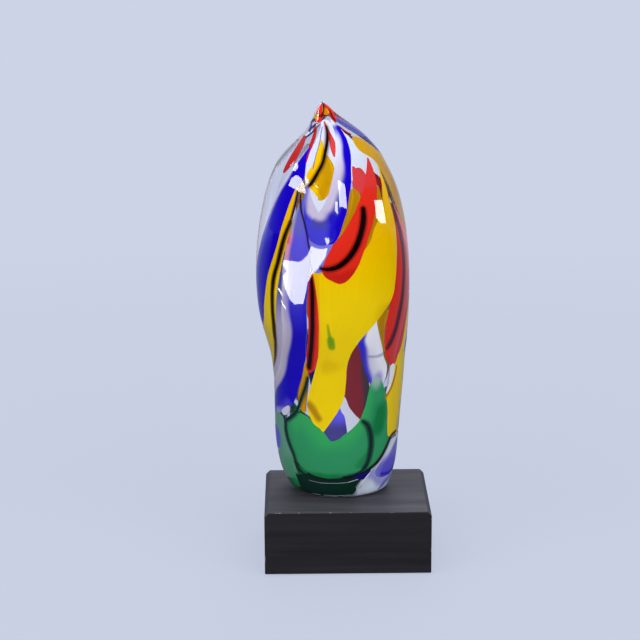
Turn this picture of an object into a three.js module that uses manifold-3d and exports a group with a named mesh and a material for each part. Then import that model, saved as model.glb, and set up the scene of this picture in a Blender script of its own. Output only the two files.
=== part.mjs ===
// A studio-glass sculpture: a hollow blown form, drawn to a leaning peak, on a black wooden block.
// Trails of coloured glass are rolled flush into its clear body, each in its own bed, and black
// threads are let into the trails. The glass is bonded by its ground foot to the block.
// Millimetres, +Z up, front towards -Y, origin at the centre of the block's underside.

import * as THREE from "three";
import { mergeVertices } from "three/addons/utils/BufferGeometryUtils.js";
import Module from "manifold-3d";

const wasm = await Module();
wasm.setup();

// Driving sizes.
const block = { width: 100, depth: 80, height: 39, chamfer: 2.5 };
const felt = { thickness: 1, inset: 3 };
const bond = { thickness: 0.5, inset: 4 };
const glass = { height: 239, halfWidth: 46.3, depthShare: 0.82, footSetBack: 8, tipSetBack: 5 };
const wall = { side: 7, floor: 9, ventDiameter: 3.5 };
const trail = { thickness: 1.5 };
const thread = { thickness: 0.6 };
const clearance = 0.3;

// How far a cut runs on past the surface that it opens.
const overshoot = 1;

// What follows from them.
const blockTop = felt.thickness + block.height;
const footHeight = blockTop + bond.thickness;

// How finely the surfaces are cut into facets.
const facets = { around: 32, trailStep: 11, trailWidth: 14, trailAngle: 20, ventSides: 12 };

// The outline of the blown form, foot to tip: height in % of the glass's height, then the lean of
// the centre and the half width, both in % of the largest half width.
const outline = [
  [0, -7.6, 58.3], [1, -8.6, 64.8], [3.1, -10.2, 70.4], [7.3, -11.4, 76.9],
  [14, -12.1, 81.2], [22, -11, 83.4], [30, -9.7, 85.5], [35.4, -10.2, 87.9],
  [40, -11.9, 92.2], [45.8, -15.1, 97.4], [52, -16.4, 99.8], [58.4, -17.1, 100],
  [66, -17.3, 97.4], [73, -17.3, 91.6], [79.3, -17.9, 83.2], [84.3, -18.6, 72.1],
  [87.7, -17.3, 60.9], [91, -16, 44.9], [93.5, -17.7, 32], [95.6, -22, 21.4],
  [97.5, -26.3, 12.7], [99, -28.5, 6.5], [100, -29.4, 0.6],
];

// Hollows pressed into the hot glass: where (degrees, % of height), how far each spreads
// (degrees, % of height) and how deep it is (% of the largest half width).
const pressings = [
  { angle: -36, height: 57.5, spread: 14, reach: 6.7, depth: 2.4 },
  { angle: -8, height: 84.7, spread: 13, reach: 7.5, depth: 5.2 },
];

// Heights, in %, of the rings that the clear body and the air bubble in it are built on.
const skinHeights = [
  0, 1, 2.6, 5.5, 10, 17, 25, 33, 39, 45, 51, 58, 65, 71.5, 77, 81.5, 85.5, 89, 92, 94.5, 96.6,
];
const tipHeights = [98, 99.2];
const bubbleHeights = [6.5, 12, 22, 33, 40, 46, 53, 61, 69, 75.5, 81.5, 86.5];

// The bubble's rounded lower corner: how high above its floor, in %, and how far in from its side,
// in walls.
const bubbleCorner = [
  { rise: 0, inset: 0.85 },
  { rise: 0.4, inset: 0.37 },
  { rise: 1.2, inset: 0.1 },
];

// Small steps for reading slopes: in degrees and %, and in shares of a curve's length.
const surfaceStep = 0.1;
const curveStep = 0.01;
// An edge that crosses its rows at a slant is moved out by more, up to 1 / leastSlant times more.
const leastSlant = 0.45;

// The coloured trails, the uppermost first. A trail that runs up the form is given by rows of
// height in % and its left and right edge in degrees. One that loops is given by its path: angle in
// degrees, height in % and width in % of the largest half width.
const trails = [
  {
    name: "green_wave_trail",
    glass: "green",
    path: [
      [-45, 22.8, 6.5], [-41, 20.7, 36.5], [-35.5, 16.9, 58.5], [-23.5, 12.6, 60.5], [-8, 10.9, 55],
      [8, 11.7, 56], [21.5, 14.4, 57], [32, 19, 45.5], [35.5, 23.6, 36.5], [35, 27.8, 27],
      [34, 30.8, 17.5], [33, 32.6, 6.5],
    ],
  },
  {
    name: "red_sickle_trail",
    glass: "red",
    rows: [
      [87.2, 44, 46], [84.7, 38, 47], [81.4, 30.5, 45.5], [78.5, 24.5, 42], [75.1, 17.5, 37.5],
      [71.8, 10.5, 33], [68.8, 4, 28.5], [66.3, -2, 25.2], [64.2, -5.5, 22.3], [62.1, -8, 19.5],
      [60.5, -9, 16.5], [59, -6, 13], [58, -0.5, 9.5], [57.4, 3, 6],
    ],
  },
  {
    name: "blue_pouch_trail",
    glass: "blue",
    rows: [
      [96, 8, 16], [94.4, 5, 20.5], [92, 3.8, 21], [88.5, 3.6, 20], [85, 2, 17.8],
      [82, -0.8, 15], [79.5, -3.8, 12.6], [77.3, -7, 10.4], [75.4, -10.8, 8.4],
      [73.6, -16, 6.6], [71.8, -19.5, 5], [70, -20.5, 3.3], [68.2, -18.5, 1],
      [66.9, -14, -4],
    ],
  },
  {
    name: "blue_pouch_arm",
    glass: "blue",
    rows: [
      [82.4, -24, -22.6], [80.4, -25, -20.8], [78.4, -25.4, -18.4], [76.4, -25.2, -15],
      [74.6, -24.4, -11.5], [72.6, -23.2, -12], [70.8, -21.8, -14], [69.4, -20, -16],
    ],
  },
  {
    name: "blue_shoulder_trail",
    glass: "blue",
    rows: [
      [89.7, -36.5, -33], [87.7, -39.5, -32], [85.1, -44, -28.5], [82.6, -48.5, -28],
      [79.3, -54.5, -35.5], [75.1, -60, -40], [70.9, -65, -44.5], [66.7, -70.5, -47.5],
      [62.6, -76, -52], [58.4, -82, -57.5], [54.2, -84, -61.5], [50, -83, -66], [46.7, -81, -70.5],
      [44.1, -79, -74],
    ],
  },
  {
    name: "yellow_ribbon_left",
    glass: "yellow",
    rows: [
      [80.5, -34.5, -32.5], [75.9, -39.5, -33.5], [70.9, -44, -35], [66.7, -47, -38],
      [62.6, -51.5, -41], [58.4, -57, -44], [54.2, -61, -46.5], [50, -65.5, -48.5],
      [45.8, -71, -50.5], [42.1, -90, -54.5], [38.3, -103, -60.5], [34.1, -113, -71.5],
      [30.3, -117.5, -92],
    ],
  },
  {
    name: "blue_white_trail",
    glass: "blue",
    rows: [
      [78, -28, -25.5], [73.4, -33, -21.5], [68, -37, -19], [62.6, -40.5, -16.5],
      [57.5, -43, -18.5], [52.1, -44, -21], [45.8, -45, -22], [41.6, -49, -25.5],
      [37.4, -56.5, -28.5], [33.3, -66, -33.5], [29.9, -80, -38], [27, -98.5, -42],
      [24.5, -107.5, -47.5], [22, -105, -61.5], [20.7, -96, -78],
    ],
  },
  {
    name: "red_strip_centre",
    glass: "red",
    rows: [
      [60, -17.5, -15.5], [56.7, -19, -13.5], [52.1, -20, -12], [46.7, -20.5, -12],
      [42.5, -23, -14], [38.7, -27, -16.5], [35.8, -28.5, -20], [33.9, -28.5, -24.5],
    ],
  },
  {
    name: "yellow_main_trail",
    glass: "yellow",
    rows: [
      [85.1, 55.9, 57.7], [81.8, 52.3, 57.2], [78.5, 49, 56.4], [74.7, 44.8, 56.8],
      [70.9, 34, 57.7], [66.7, 27, 57.2], [63.6, 14, 56.2], [61.2, -6, 55], [59, -11, 54],
      [56.7, -11.5, 53], [53.3, -11.5, 50.2], [50, -11.5, 42], [45.8, -12, 29], [42.5, -13.5, 18.3],
      [39.1, -16.2, 10.4], [35.8, -19.7, 6.5], [31.6, -24.6, 5.5], [27.4, -28.8, 3.8],
      [24.1, -29.2, -0.5], [20.7, -23.6, -8], [18.4, -17, -13.5],
    ],
  },
  {
    name: "amber_strip_left",
    glass: "amber",
    rows: [
      [36.6, -30.5, -28.5], [32.8, -34, -27.5], [29.1, -38.5, -29], [25.7, -39.5, -30.5],
      [23.2, -34.5, -31],
    ],
  },
  {
    name: "amber_strip_centre",
    glass: "amber",
    rows: [
      [80.5, 17.5, 20.5], [78.5, 16, 24.5], [75.9, 14, 19.5], [73, 10.5, 15.5], [70.5, 7, 12],
      [68.4, 4.5, 7.5],
    ],
  },
  {
    name: "rose_patch",
    glass: "rose",
    rows: [
      [85.6, 21.5, 23.5], [83.5, 20, 31], [81.4, 19, 30], [79.7, 18.5, 26.5], [78.7, 19.5, 24.5],
    ],
  },
  {
    name: "yellow_drop",
    glass: "amber_yellow",
    rows: [
      [91.4, -23, -19.5], [88.5, -22.3, -9.5], [86, -22.5, -2.5], [83.9, -26, 0.5],
      [81.8, -25.5, -1.5], [79.7, -18, -4.8], [77.8, -11, -7.5],
    ],
  },
  {
    name: "red_fleck_right",
    glass: "red",
    rows: [
      [95.6, -18.5, -12], [93.5, -14.5, -6], [91.4, -8.5, 2], [89.7, -5, 3.5],
      [87.7, 1, 3],
    ],
  },
  {
    name: "red_fleck_left",
    glass: "red",
    rows: [
      [94.4, -48.5, -41], [92.3, -43, -35.5], [90.2, -39, -33.5], [88.1, -34, -30.5],
      [86.4, -32, -29.5],
    ],
  },
  {
    name: "red_streak_left",
    glass: "red",
    rows: [
      [92.1, -70.5, -60], [90.2, -65, -51], [88.5, -60.5, -47.5], [86.8, -58.5, -46],
      [85.1, -57.5, -49.5], [83.5, -57, -54],
    ],
  },
  {
    name: "yellow_shoulder_trail",
    glass: "amber_yellow",
    rows: [
      [92.1, 36.5, 49.5], [90.6, 33, 63.5], [88.9, 36.5, 74], [86.8, 51, 85], [84.3, 58, 92],
      [81, 61.5, 96], [77.2, 64, 97.5], [73.4, 67.5, 96], [70.1, 71.5, 93], [67.2, 78, 88],
    ],
  },
  {
    name: "dark_red_fleck",
    glass: "dark_red",
    rows: [
      [83.9, 44.5, 46.5], [81.8, 45.5, 53.5], [79.3, 46, 49], [77.6, 45.5, 47.5],
    ],
  },
  {
    name: "red_edge_trail",
    glass: "red",
    rows: [
      [77.6, 56.8, 58.4], [74.3, 57.7, 64], [70.9, 58, 70], [67.6, 57.5, 78], [64.2, 56.8, 86],
      [60, 54.5, 88], [55.9, 51, 85], [51.7, 46.8, 78], [47.5, 43.3, 70.5], [44.1, 41.5, 65.5],
      [40.8, 41.2, 61.5], [37.9, 42.3, 58], [35.8, 47, 56], [34.5, 51, 54.5],
    ],
  },
  {
    name: "amber_strip_right",
    glass: "amber",
    rows: [
      [50, 40.5, 45], [47.5, 34, 43], [45, 35, 41], [42.1, 37, 40], [39.1, 39.5, 41.5],
    ],
  },
  {
    name: "white_blue_trail",
    glass: "white",
    rows: [
      [47.5, 29.5, 33], [45, 21.5, 34.5], [42.5, 16, 36.5], [40, 17, 39], [37.4, 19, 41],
      [34.9, 21, 45.5], [32.4, 24.5, 45], [30.3, 29, 42.5], [28.2, 34.5, 40],
    ],
  },
  {
    name: "yellow_low_trail",
    glass: "yellow",
    rows: [
      [37.9, 61.5, 72.5], [35.4, 58, 86], [32.4, 53, 92], [29.1, 48.5, 95], [25.7, 47, 96],
      [22.4, 49.5, 95], [19, 50.5, 92], [16.5, 52, 87], [15.3, 53.5, 74],
    ],
  },
  {
    name: "blue_edge_trail",
    glass: "violet",
    rows: [
      [41.2, 72.5, 84], [38.3, 68.5, 92], [34.9, 67.5, 96], [31.6, 69, 95], [29.1, 73, 88],
    ],
  },
  {
    name: "violet_foot_trail",
    glass: "violet",
    rows: [
      [14, 72.5, 82], [12.3, 60, 87], [10.7, 51, 88], [9, 44, 88], [7.3, 38.5, 86],
      [5.6, 40, 82], [4.4, 47.5, 70.5],
    ],
  },
  {
    name: "white_foot_trail",
    glass: "white",
    rows: [
      [14.6, 58, 100.5], [12.3, 50, 105], [9.8, 43, 105], [7.3, 34.5, 103], [4.8, 26.5, 98.5],
      [2.7, 20.5, 92], [1, 19.5, 84],
    ],
  },
  {
    name: "violet_patch_left",
    glass: "violet",
    rows: [
      [17.8, -84, -73], [16.1, -91, -66], [14.4, -93, -63.5], [12.3, -91, -65],
      [10.7, -85, -73],
    ],
  },
  {
    name: "green_side_trail",
    glass: "sea_green",
    rows: [
      [21.1, -92, -60], [19, -100.5, -59], [16.5, -100.5, -55], [14, -98.5, -51],
      [11.5, -96, -47.5], [9, -93, -45.5], [6.5, -88, -44.5], [4, -82, -44.5], [1.9, -74, -45.5],
    ],
  },
  {
    name: "green_foot_trail",
    glass: "dark_green",
    rows: [
      [5.4, -34.5, 8], [4, -42, 16.5], [2.5, -44, 19], [1, -40, 18],
    ],
  },
  {
    name: "violet_peak_trail",
    glass: "violet",
    rows: [
      [96.4, 26.5, 40], [95.2, 34.5, 54.5], [93.9, 44, 66.5], [92.7, 54.5, 78], [91.6, 66.5, 84],
    ],
  },
  {
    name: "red_peak_fleck",
    glass: "dark_red",
    rows: [
      [94.6, 22.5, 25.5], [93.3, 24.5, 33], [92.4, 28.5, 44],
    ],
  },
  {
    name: "blue_peak_trail",
    glass: "blue",
    rows: [
      [95.8, -78, -63.5], [94.4, -72.5, -54.5], [92.9, -63.5, -49.5],
    ],
  },
  {
    name: "red_tip_trail",
    glass: "red",
    rows: [
      [96.6, -58, -21.5], [95.9, -63.5, -25.5], [95.2, -56.5, -33],
    ],
  },
  {
    name: "red_back_trail",
    glass: "red",
    rows: [
      [63.4, 143, 147], [58.4, 142, 155], [52.5, 143, 160], [46.7, 147, 163],
      [40.4, 151, 167], [34.1, 155.5, 171], [28.2, 157.5, 173.5], [23.2, 156, 174.5],
      [19, 154, 174.5], [15.7, 155, 169], [13.6, 158, 163],
    ],
  },
  {
    name: "blue_white_back_trail",
    glass: "blue",
    rows: [
      [39.1, 206, 212], [34.5, 198, 213], [29.9, 191, 212], [25.7, 184, 209],
      [21.5, 177, 205], [18.2, 172, 202], [14.9, 168, 200], [11.5, 166, 197],
      [8.6, 169, 193], [6.9, 176, 187],
    ],
  },
  {
    name: "yellow_back_trail",
    glass: "yellow",
    rows: [
      [87.7, 197, 202], [83.5, 191, 211], [77.6, 185, 214], [70.9, 178, 214],
      [65.1, 171, 212], [59.2, 168, 209], [53.3, 167, 207], [47.5, 170, 206],
      [42.5, 176, 205], [37.9, 185, 201], [34.1, 190, 195],
    ],
  },
  {
    name: "blue_back_trail",
    glass: "blue",
    rows: [
      [89.7, 150, 157], [85.1, 141, 160], [80.1, 133, 158], [75.1, 127, 153],
      [70.1, 122, 147], [65.1, 117, 138], [60.9, 115, 128], [58.4, 116, 121],
    ],
  },
  {
    name: "yellow_back_side_trail",
    glass: "yellow",
    rows: [
      [56.7, 111, 120], [52.5, 107, 133], [48.3, 105, 138], [44.1, 104.5, 142],
      [39.1, 105.5, 147], [34.1, 107, 151], [29.5, 112, 152], [26.2, 121, 147],
      [24.1, 130, 140],
    ],
  },
  {
    name: "red_back_side_trail",
    glass: "red",
    rows: [
      [80.1, 236, 240], [74.3, 230, 246], [68.4, 226, 249], [62.6, 224, 249],
      [56.7, 224, 247], [50.8, 226, 243], [45.8, 230, 239], [43.7, 233, 236],
    ],
  },
  {
    name: "white_back_trail",
    glass: "white",
    rows: [
      [88.5, 212, 222], [84.3, 214, 230], [79.3, 216.5, 230], [73.8, 217, 227],
      [68.8, 216.5, 222.5], [65.1, 215.5, 218],
    ],
  },
  {
    name: "violet_back_trail",
    glass: "violet",
    rows: [
      [42.5, 212, 221], [39.1, 214.5, 229], [35.4, 216, 234], [31.6, 216, 236],
      [28.2, 214, 238], [24.9, 212, 238], [22.4, 213, 233], [20.7, 217, 228],
    ],
  },
  {
    name: "green_back_wave_trail",
    glass: "green",
    path: [
      [114, 25.3, 6.5], [119, 21.1, 30], [130, 15.3, 47.5], [150, 10.3, 52], [176, 8.2, 49.5],
      [200, 8.6, 49.5], [220, 12.3, 47.5], [234, 17.4, 30], [240, 21.5, 8.5],
    ],
  },
  {
    name: "red_back_peak_trail",
    glass: "red",
    rows: [
      [94.8, 172, 196], [92.3, 166, 202], [89.7, 166, 196], [87.7, 171, 188],
    ],
  },
];

// The black threads, by their paths.
const threads = [
  {
    name: "thread_sickle",
    path: [
      [25.3, 76, 5.5], [24.5, 73, 7.5], [21.5, 69.7, 7.5], [17, 66.5, 7.5], [11, 63.8, 7],
      [4, 61.9, 6.5], [-3.5, 61.1, 5], [-10, 61.3, 2],
    ],
  },
  {
    name: "thread_left",
    path: [
      [-35.5, 72.2, 2], [-40, 68.8, 4], [-45, 62.6, 4.5], [-49.5, 58.4, 4.5], [-52, 54.2, 4.5],
      [-53, 50, 4.5], [-54, 45.8, 4.5], [-57.5, 42.1, 4.5], [-61.5, 39.3, 4.5], [-68.5, 36.2, 4],
      [-78, 33.3, 2],
    ],
  },
  {
    name: "thread_centre",
    path: [
      [-16.5, 59.2, 2.5], [-16, 55, 5], [-16.5, 50, 5], [-17.5, 45.8, 5],
      [-20.5, 41.6, 5], [-24, 37.9, 5.5], [-26.5, 34.9, 5],
    ],
  },
  {
    name: "thread_right",
    path: [
      [57.5, 77.6, 2], [59.5, 74.3, 4], [62.5, 70.9, 5], [65, 67.6, 5.5],
      [66.5, 63.8, 6], [66.5, 59.6, 6], [64.5, 55.4, 5.5], [62, 51.7, 5.5],
      [58, 47.9, 5.5], [53.5, 44.1, 5], [47.5, 41, 5], [43.5, 39.5, 3],
    ],
  },
  {
    name: "thread_drop",
    path: [
      [-12.3, 94.6, 2], [-11, 91, 4], [-11, 86.8, 4], [-15, 84.1, 4.5], [-19.5, 81.8, 5],
      [-22.5, 80.8, 2.5],
    ],
  },
  {
    name: "thread_pouch_side",
    path: [
      [-29, 79.1, 2.5], [-27.5, 75.5, 2.5], [-24, 72.4, 2.5], [-21, 69.2, 2],
      [-19.5, 66.7, 2], [-17.5, 64.9, 2],
    ],
  },
  {
    name: "thread_green",
    path: [
      [21.5, 21.3, 3.5], [26.5, 20.1, 5.5], [30, 18, 6], [32, 15.3, 6], [32, 12.8, 6],
      [29.5, 10, 5], [24.5, 8.2, 3.5],
    ],
  },
  {
    name: "thread_lower_left",
    path: [
      [-28, 32.8, 3.5], [-30.5, 30.3, 4.5], [-34, 27.8, 4.5], [-37.5, 25.3, 4.5],
      [-41.5, 23, 5], [-48.5, 21.3, 5], [-54.5, 20.1, 5], [-56, 18.2, 5],
      [-53.5, 15.7, 5], [-49.5, 13.4, 4.5], [-46, 11.3, 4], [-44, 9, 3.5],
      [-41.5, 6.9, 3],
    ],
  },
  {
    name: "thread_foot_right",
    path: [
      [71.5, 16.1, 2.5], [65, 15.9, 3.5], [59, 15.3, 4], [53.5, 13.2, 4], [47.5, 11.1, 4],
      [41, 9.4, 4], [34, 8.2, 4], [25.5, 7.1, 4], [15.5, 6.4, 3.5], [4, 6, 2.5],
    ],
  },
  {
    name: "thread_back",
    path: [
      [146, 56.7, 2.5], [151, 50, 5], [157, 42.9, 5.5], [161.5, 35.8, 6],
      [160.5, 28.2, 6.5], [158.5, 22.8, 6], [159.5, 17.8, 3.5],
    ],
  },
  {
    name: "thread_back_side",
    path: [
      [238, 76.4, 2.5], [237.5, 70.5, 5], [236.5, 64.2, 5], [235.5, 57.5, 5],
      [235, 50.8, 5], [235, 46.7, 2.5],
    ],
  },
];

const glassColours = {
  blue: 0x1a0ac0,
  violet: 0x5a55d0,
  white: 0xc9c6d2,
  red: 0xdb2c1c,
  rose: 0xc9434a,
  dark_red: 0x8a1020,
  yellow: 0xdcb800,
  amber_yellow: 0xc79400,
  amber: 0xb08000,
  green: 0x2c965c,
  sea_green: 0x5c9c80,
  dark_green: 0x004028,
};
const black = new THREE.MeshStandardMaterial({ color: 0x14000a, roughness: 0.1, metalness: 0 });
const clear = new THREE.MeshStandardMaterial({
  color: 0xeef2ff,
  roughness: 0.02,
  metalness: 0,
  transparent: true,
  opacity: 0.35,
});
const paintedWood = new THREE.MeshStandardMaterial({ color: 0x232126, roughness: 0.45, metalness: 0 });
const feltCloth = new THREE.MeshStandardMaterial({ color: 0x101012, roughness: 0.95, metalness: 0 });

// A smooth curve through the outline's points, read at a height in %.
function outlineAt(height, column) {
  const last = outline.length - 1;
  const slope = (i) => {
    const a = outline[Math.max(i - 1, 0)];
    const b = outline[Math.min(i + 1, last)];
    return (b[column] - a[column]) / (b[0] - a[0]);
  };
  const h = Math.min(Math.max(height, 0), 100);
  let i = 0;
  while (i < last - 1 && outline[i + 1][0] <= h) i += 1;
  const span = outline[i + 1][0] - outline[i][0];
  const t = (h - outline[i][0]) / span;
  const start = (2 * t ** 3 - 3 * t ** 2 + 1) * outline[i][column];
  const leaving = (t ** 3 - 2 * t ** 2 + t) * span * slope(i);
  const end = (3 * t ** 2 - 2 * t ** 3) * outline[i + 1][column];
  const arriving = (t ** 3 - t ** 2) * span * slope(i + 1);
  return start + leaving + end + arriving;
}

// The outer surface of the blown form: an ellipse at each height, pressed in by the hollows.
// Angle 0 faces the front and 90 the right.
function skin(angle, height) {
  const halfWidth = (glass.halfWidth * outlineAt(height, 2)) / 100;
  const lean = (glass.halfWidth * outlineAt(height, 1)) / 100;
  let pressed = 0;
  for (const p of pressings) {
    const turn = THREE.MathUtils.euclideanModulo(angle - p.angle + 180, 360) - 180;
    const depth = (glass.halfWidth * p.depth) / 100;
    pressed += depth * Math.exp(-((turn / p.spread) ** 2) - ((height - p.height) / p.reach) ** 2);
  }
  const radius = Math.max(halfWidth - pressed, 0.1);
  const setBack = THREE.MathUtils.lerp(glass.footSetBack, glass.tipSetBack, height / 100);
  const a = THREE.MathUtils.degToRad(angle);
  return new THREE.Vector3(
    lean + radius * Math.sin(a),
    setBack - glass.depthShare * radius * Math.cos(a),
    footHeight + (glass.height * height) / 100,
  );
}

// The way out of the glass at a point. It never points down, so every layer ends square on the foot.
function outward(angle, height) {
  const e = surfaceStep;
  const around = skin(angle + e, height).sub(skin(angle - e, height));
  const up = skin(angle, height + e).sub(skin(angle, height - e));
  const n = around.cross(up).normalize();
  n.z = Math.max(n.z, 0);
  return n.normalize();
}

// A point at a depth under the outer surface.
function layer(angle, height, depth) {
  return skin(angle, height).addScaledVector(outward(angle, height), -depth);
}

// Millimetres per degree around the form and per % of its height.
function scaleAt(angle, height) {
  const e = surfaceStep;
  const around = skin(angle + e, height).distanceTo(skin(angle - e, height)) / (2 * e);
  const up = skin(angle, height + e).distanceTo(skin(angle, height - e)) / (2 * e);
  return { around, up };
}

function ring(height, depth) {
  const points = [];
  for (let i = 0; i < facets.around; i += 1) points.push(layer((360 * i) / facets.around, height, depth));
  return points;
}

function centreOf(points, lift) {
  const centre = new THREE.Vector3();
  for (const p of points) centre.addScaledVector(p, 1 / points.length);
  centre.z += lift;
  return centre;
}

// A closed surface over rings of equal length, with a fan to a pole at each end.
function loft(rings, firstPole, lastPole) {
  const count = rings[0].length;
  const points = [firstPole, ...rings.flat(), lastPole];
  const at = (r, i) => 1 + r * count + (i % count);
  const triangles = [];
  for (let i = 0; i < count; i += 1) {
    triangles.push(0, at(0, i + 1), at(0, i));
    for (let r = 0; r < rings.length - 1; r += 1) {
      triangles.push(at(r, i), at(r, i + 1), at(r + 1, i));
      triangles.push(at(r + 1, i), at(r, i + 1), at(r + 1, i + 1));
    }
    triangles.push(points.length - 1, at(rings.length - 1, i), at(rings.length - 1, i + 1));
  }
  const geometry = new THREE.BufferGeometry().setFromPoints(points);
  geometry.setIndex(triangles);
  return geometry;
}

// A three.js geometry as a solid that can be joined and cut, turned so that its faces point out.
function solidOf(geometry) {
  const bare = geometry.clone();
  bare.deleteAttribute("normal");
  bare.deleteAttribute("uv");
  const merged = mergeVertices(bare, 1e-4);
  const corners = merged.index.array;
  const vertProperties = new Float32Array(merged.attributes.position.array);
  const p = (i) => new THREE.Vector3().fromArray(vertProperties, 3 * i);
  let volume = 0;
  for (let i = 0; i < corners.length; i += 3) {
    volume += p(corners[i]).dot(p(corners[i + 1]).cross(p(corners[i + 2])));
  }
  const triVerts = new Uint32Array(corners);
  if (volume < 0) triVerts.reverse();
  return new wasm.Manifold(new wasm.Mesh({ numProp: 3, vertProperties, triVerts }));
}

// The solid's largest body: a cut can leave a loose splinter beside it.
function mainBody(solid) {
  return solid.decompose().reduce((a, b) => (b.volume() > a.volume() ? b : a));
}

function meshOf(name, solid, material) {
  const { vertProperties, triVerts, numProp } = solid.getMesh();
  const position = new Float32Array((vertProperties.length / numProp) * 3);
  for (let i = 0; i < position.length / 3; i += 1) {
    position.set(vertProperties.subarray(i * numProp, i * numProp + 3), i * 3);
  }
  const indexed = new THREE.BufferGeometry();
  indexed.setAttribute("position", new THREE.BufferAttribute(position, 3));
  indexed.setIndex(new THREE.BufferAttribute(new Uint32Array(triVerts), 1));
  const geometry = indexed.toNonIndexed();
  geometry.computeVertexNormals();
  const mesh = new THREE.Mesh(geometry, material);
  mesh.name = name;
  return mesh;
}

// The block: a rectangle with its two upper corners planed off, carried from front to back.
function makeBlock() {
  const half = block.width / 2;
  const c = block.chamfer;
  const section = new THREE.Shape();
  section.moveTo(-half, 0);
  section.lineTo(half, 0);
  section.lineTo(half, block.height - c);
  section.lineTo(half - c, block.height);
  section.lineTo(c - half, block.height);
  section.lineTo(-half, block.height - c);
  section.closePath();
  const geometry = new THREE.ExtrudeGeometry(section, { depth: block.depth, bevelEnabled: false });
  geometry.rotateX(Math.PI / 2);
  geometry.translate(0, block.depth / 2, felt.thickness);
  return meshOf("wooden_block", solidOf(geometry), paintedWood);
}

function makeFelt() {
  const width = block.width - 2 * felt.inset;
  const depth = block.depth - 2 * felt.inset;
  const geometry = new THREE.BoxGeometry(width, depth, felt.thickness);
  geometry.translate(0, 0, felt.thickness / 2);
  return meshOf("felt_pad", solidOf(geometry), feltCloth);
}

// The clear adhesive between the ground foot and the block, a little smaller than the foot.
function makeBond() {
  const foot = ring(0, bond.inset);
  const shape = new THREE.Shape(foot.map((p) => new THREE.Vector2(p.x, p.y)));
  const geometry = new THREE.ExtrudeGeometry(shape, { depth: bond.thickness, bevelEnabled: false });
  geometry.translate(0, 0, blockTop);
  return meshOf("adhesive_pad", solidOf(geometry), clear);
}

// The clear body: a thick hollow bubble with a drawn tip, the vent that the blowpipe left through
// its foot, and a bed for each trail and thread.
function makeBody(beds) {
  const outside = [...skinHeights, ...tipHeights].map((h) => ring(h, 0));
  const tip = skin(0, 100).lerp(skin(180, 100), 0.5);
  const body = solidOf(loft(outside, centreOf(outside[0], 0), tip));

  const floorHeight = (100 * wall.floor) / glass.height;
  const bubble = bubbleCorner.map((c) => ring(floorHeight + c.rise, wall.side * (1 + c.inset)));
  bubble.push(...bubbleHeights.map((h) => ring(h, wall.side)));
  const bubbleTop = centreOf(bubble[bubble.length - 1], wall.side / 3);
  const air = solidOf(loft(bubble, centreOf(bubble[0], 0), bubbleTop));

  const radius = wall.ventDiameter / 2;
  const ventLength = wall.floor + 2 * overshoot;
  const vent = new THREE.CylinderGeometry(radius, radius, ventLength, facets.ventSides);
  vent.rotateX(Math.PI / 2);
  const foot = centreOf(outside[0], 0);
  vent.translate(foot.x, foot.y, footHeight + wall.floor / 2);
  let hollow = body.subtract(air).subtract(solidOf(vent));
  for (const bed of beds) hollow = hollow.subtract(bed);
  return meshOf("clear_body", mainBody(hollow), clear);
}

// The two edges of a trail or thread, as evenly spaced pairs of points in degrees and % of height.
// grow widens and lengthens it by that many millimetres, for the bed that it lies in.
function edgesOf(shape, grow) {
  const given = (shape.rows ?? shape.path).map((p) => new THREE.Vector3(...p));
  const curve = new THREE.CatmullRomCurve3(given, false, "catmullrom", 0.5);
  const length = given.slice(1).reduce((sum, p, i) => {
    const a = shape.rows ? new THREE.Vector2((p.y + p.z) / 2, p.x) : new THREE.Vector2(p.x, p.y);
    const q = given[i];
    const b = shape.rows ? new THREE.Vector2((q.y + q.z) / 2, q.x) : new THREE.Vector2(q.x, q.y);
    const scale = scaleAt(a.x, a.y);
    return sum + Math.hypot((a.x - b.x) * scale.around, (a.y - b.y) * scale.up);
  }, 0);
  const steps = Math.max(2, Math.round(length / facets.trailStep));
  const middle = (t) => {
    const p = curve.getPoint(t);
    return shape.rows ? new THREE.Vector2((p.y + p.z) / 2, p.x) : new THREE.Vector2(p.x, p.y);
  };
  const pairs = [];
  for (let i = 0; i <= steps; i += 1) {
    const t = i / steps;
    const p = curve.getPoint(t);
    const centre = middle(t);
    const scale = scaleAt(centre.x, centre.y);
    const along = middle(Math.min(t + curveStep, 1)).sub(middle(Math.max(t - curveStep, 0)));
    along.multiply(new THREE.Vector2(scale.around, scale.up)).normalize();
    let across = new THREE.Vector2(-along.y, along.x);
    let half = (glass.halfWidth * p.z) / 200;
    if (shape.rows) {
      across = new THREE.Vector2(1, 0);
      half = ((p.z - p.y) / 2) * scale.around;
    }
    const slant = Math.max(Math.abs(across.cross(along)), leastSlant);
    half += grow / slant;
    let shift = 0;
    if (i === 0) shift = -grow / slant;
    if (i === steps) shift = grow / slant;
    const point = (side) =>
      new THREE.Vector2(
        centre.x + (side * half * across.x + shift * along.x) / scale.around,
        centre.y + (side * half * across.y + shift * along.y) / scale.up,
      );
    pairs.push([point(-1), point(1)]);
  }
  return pairs;
}

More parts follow.
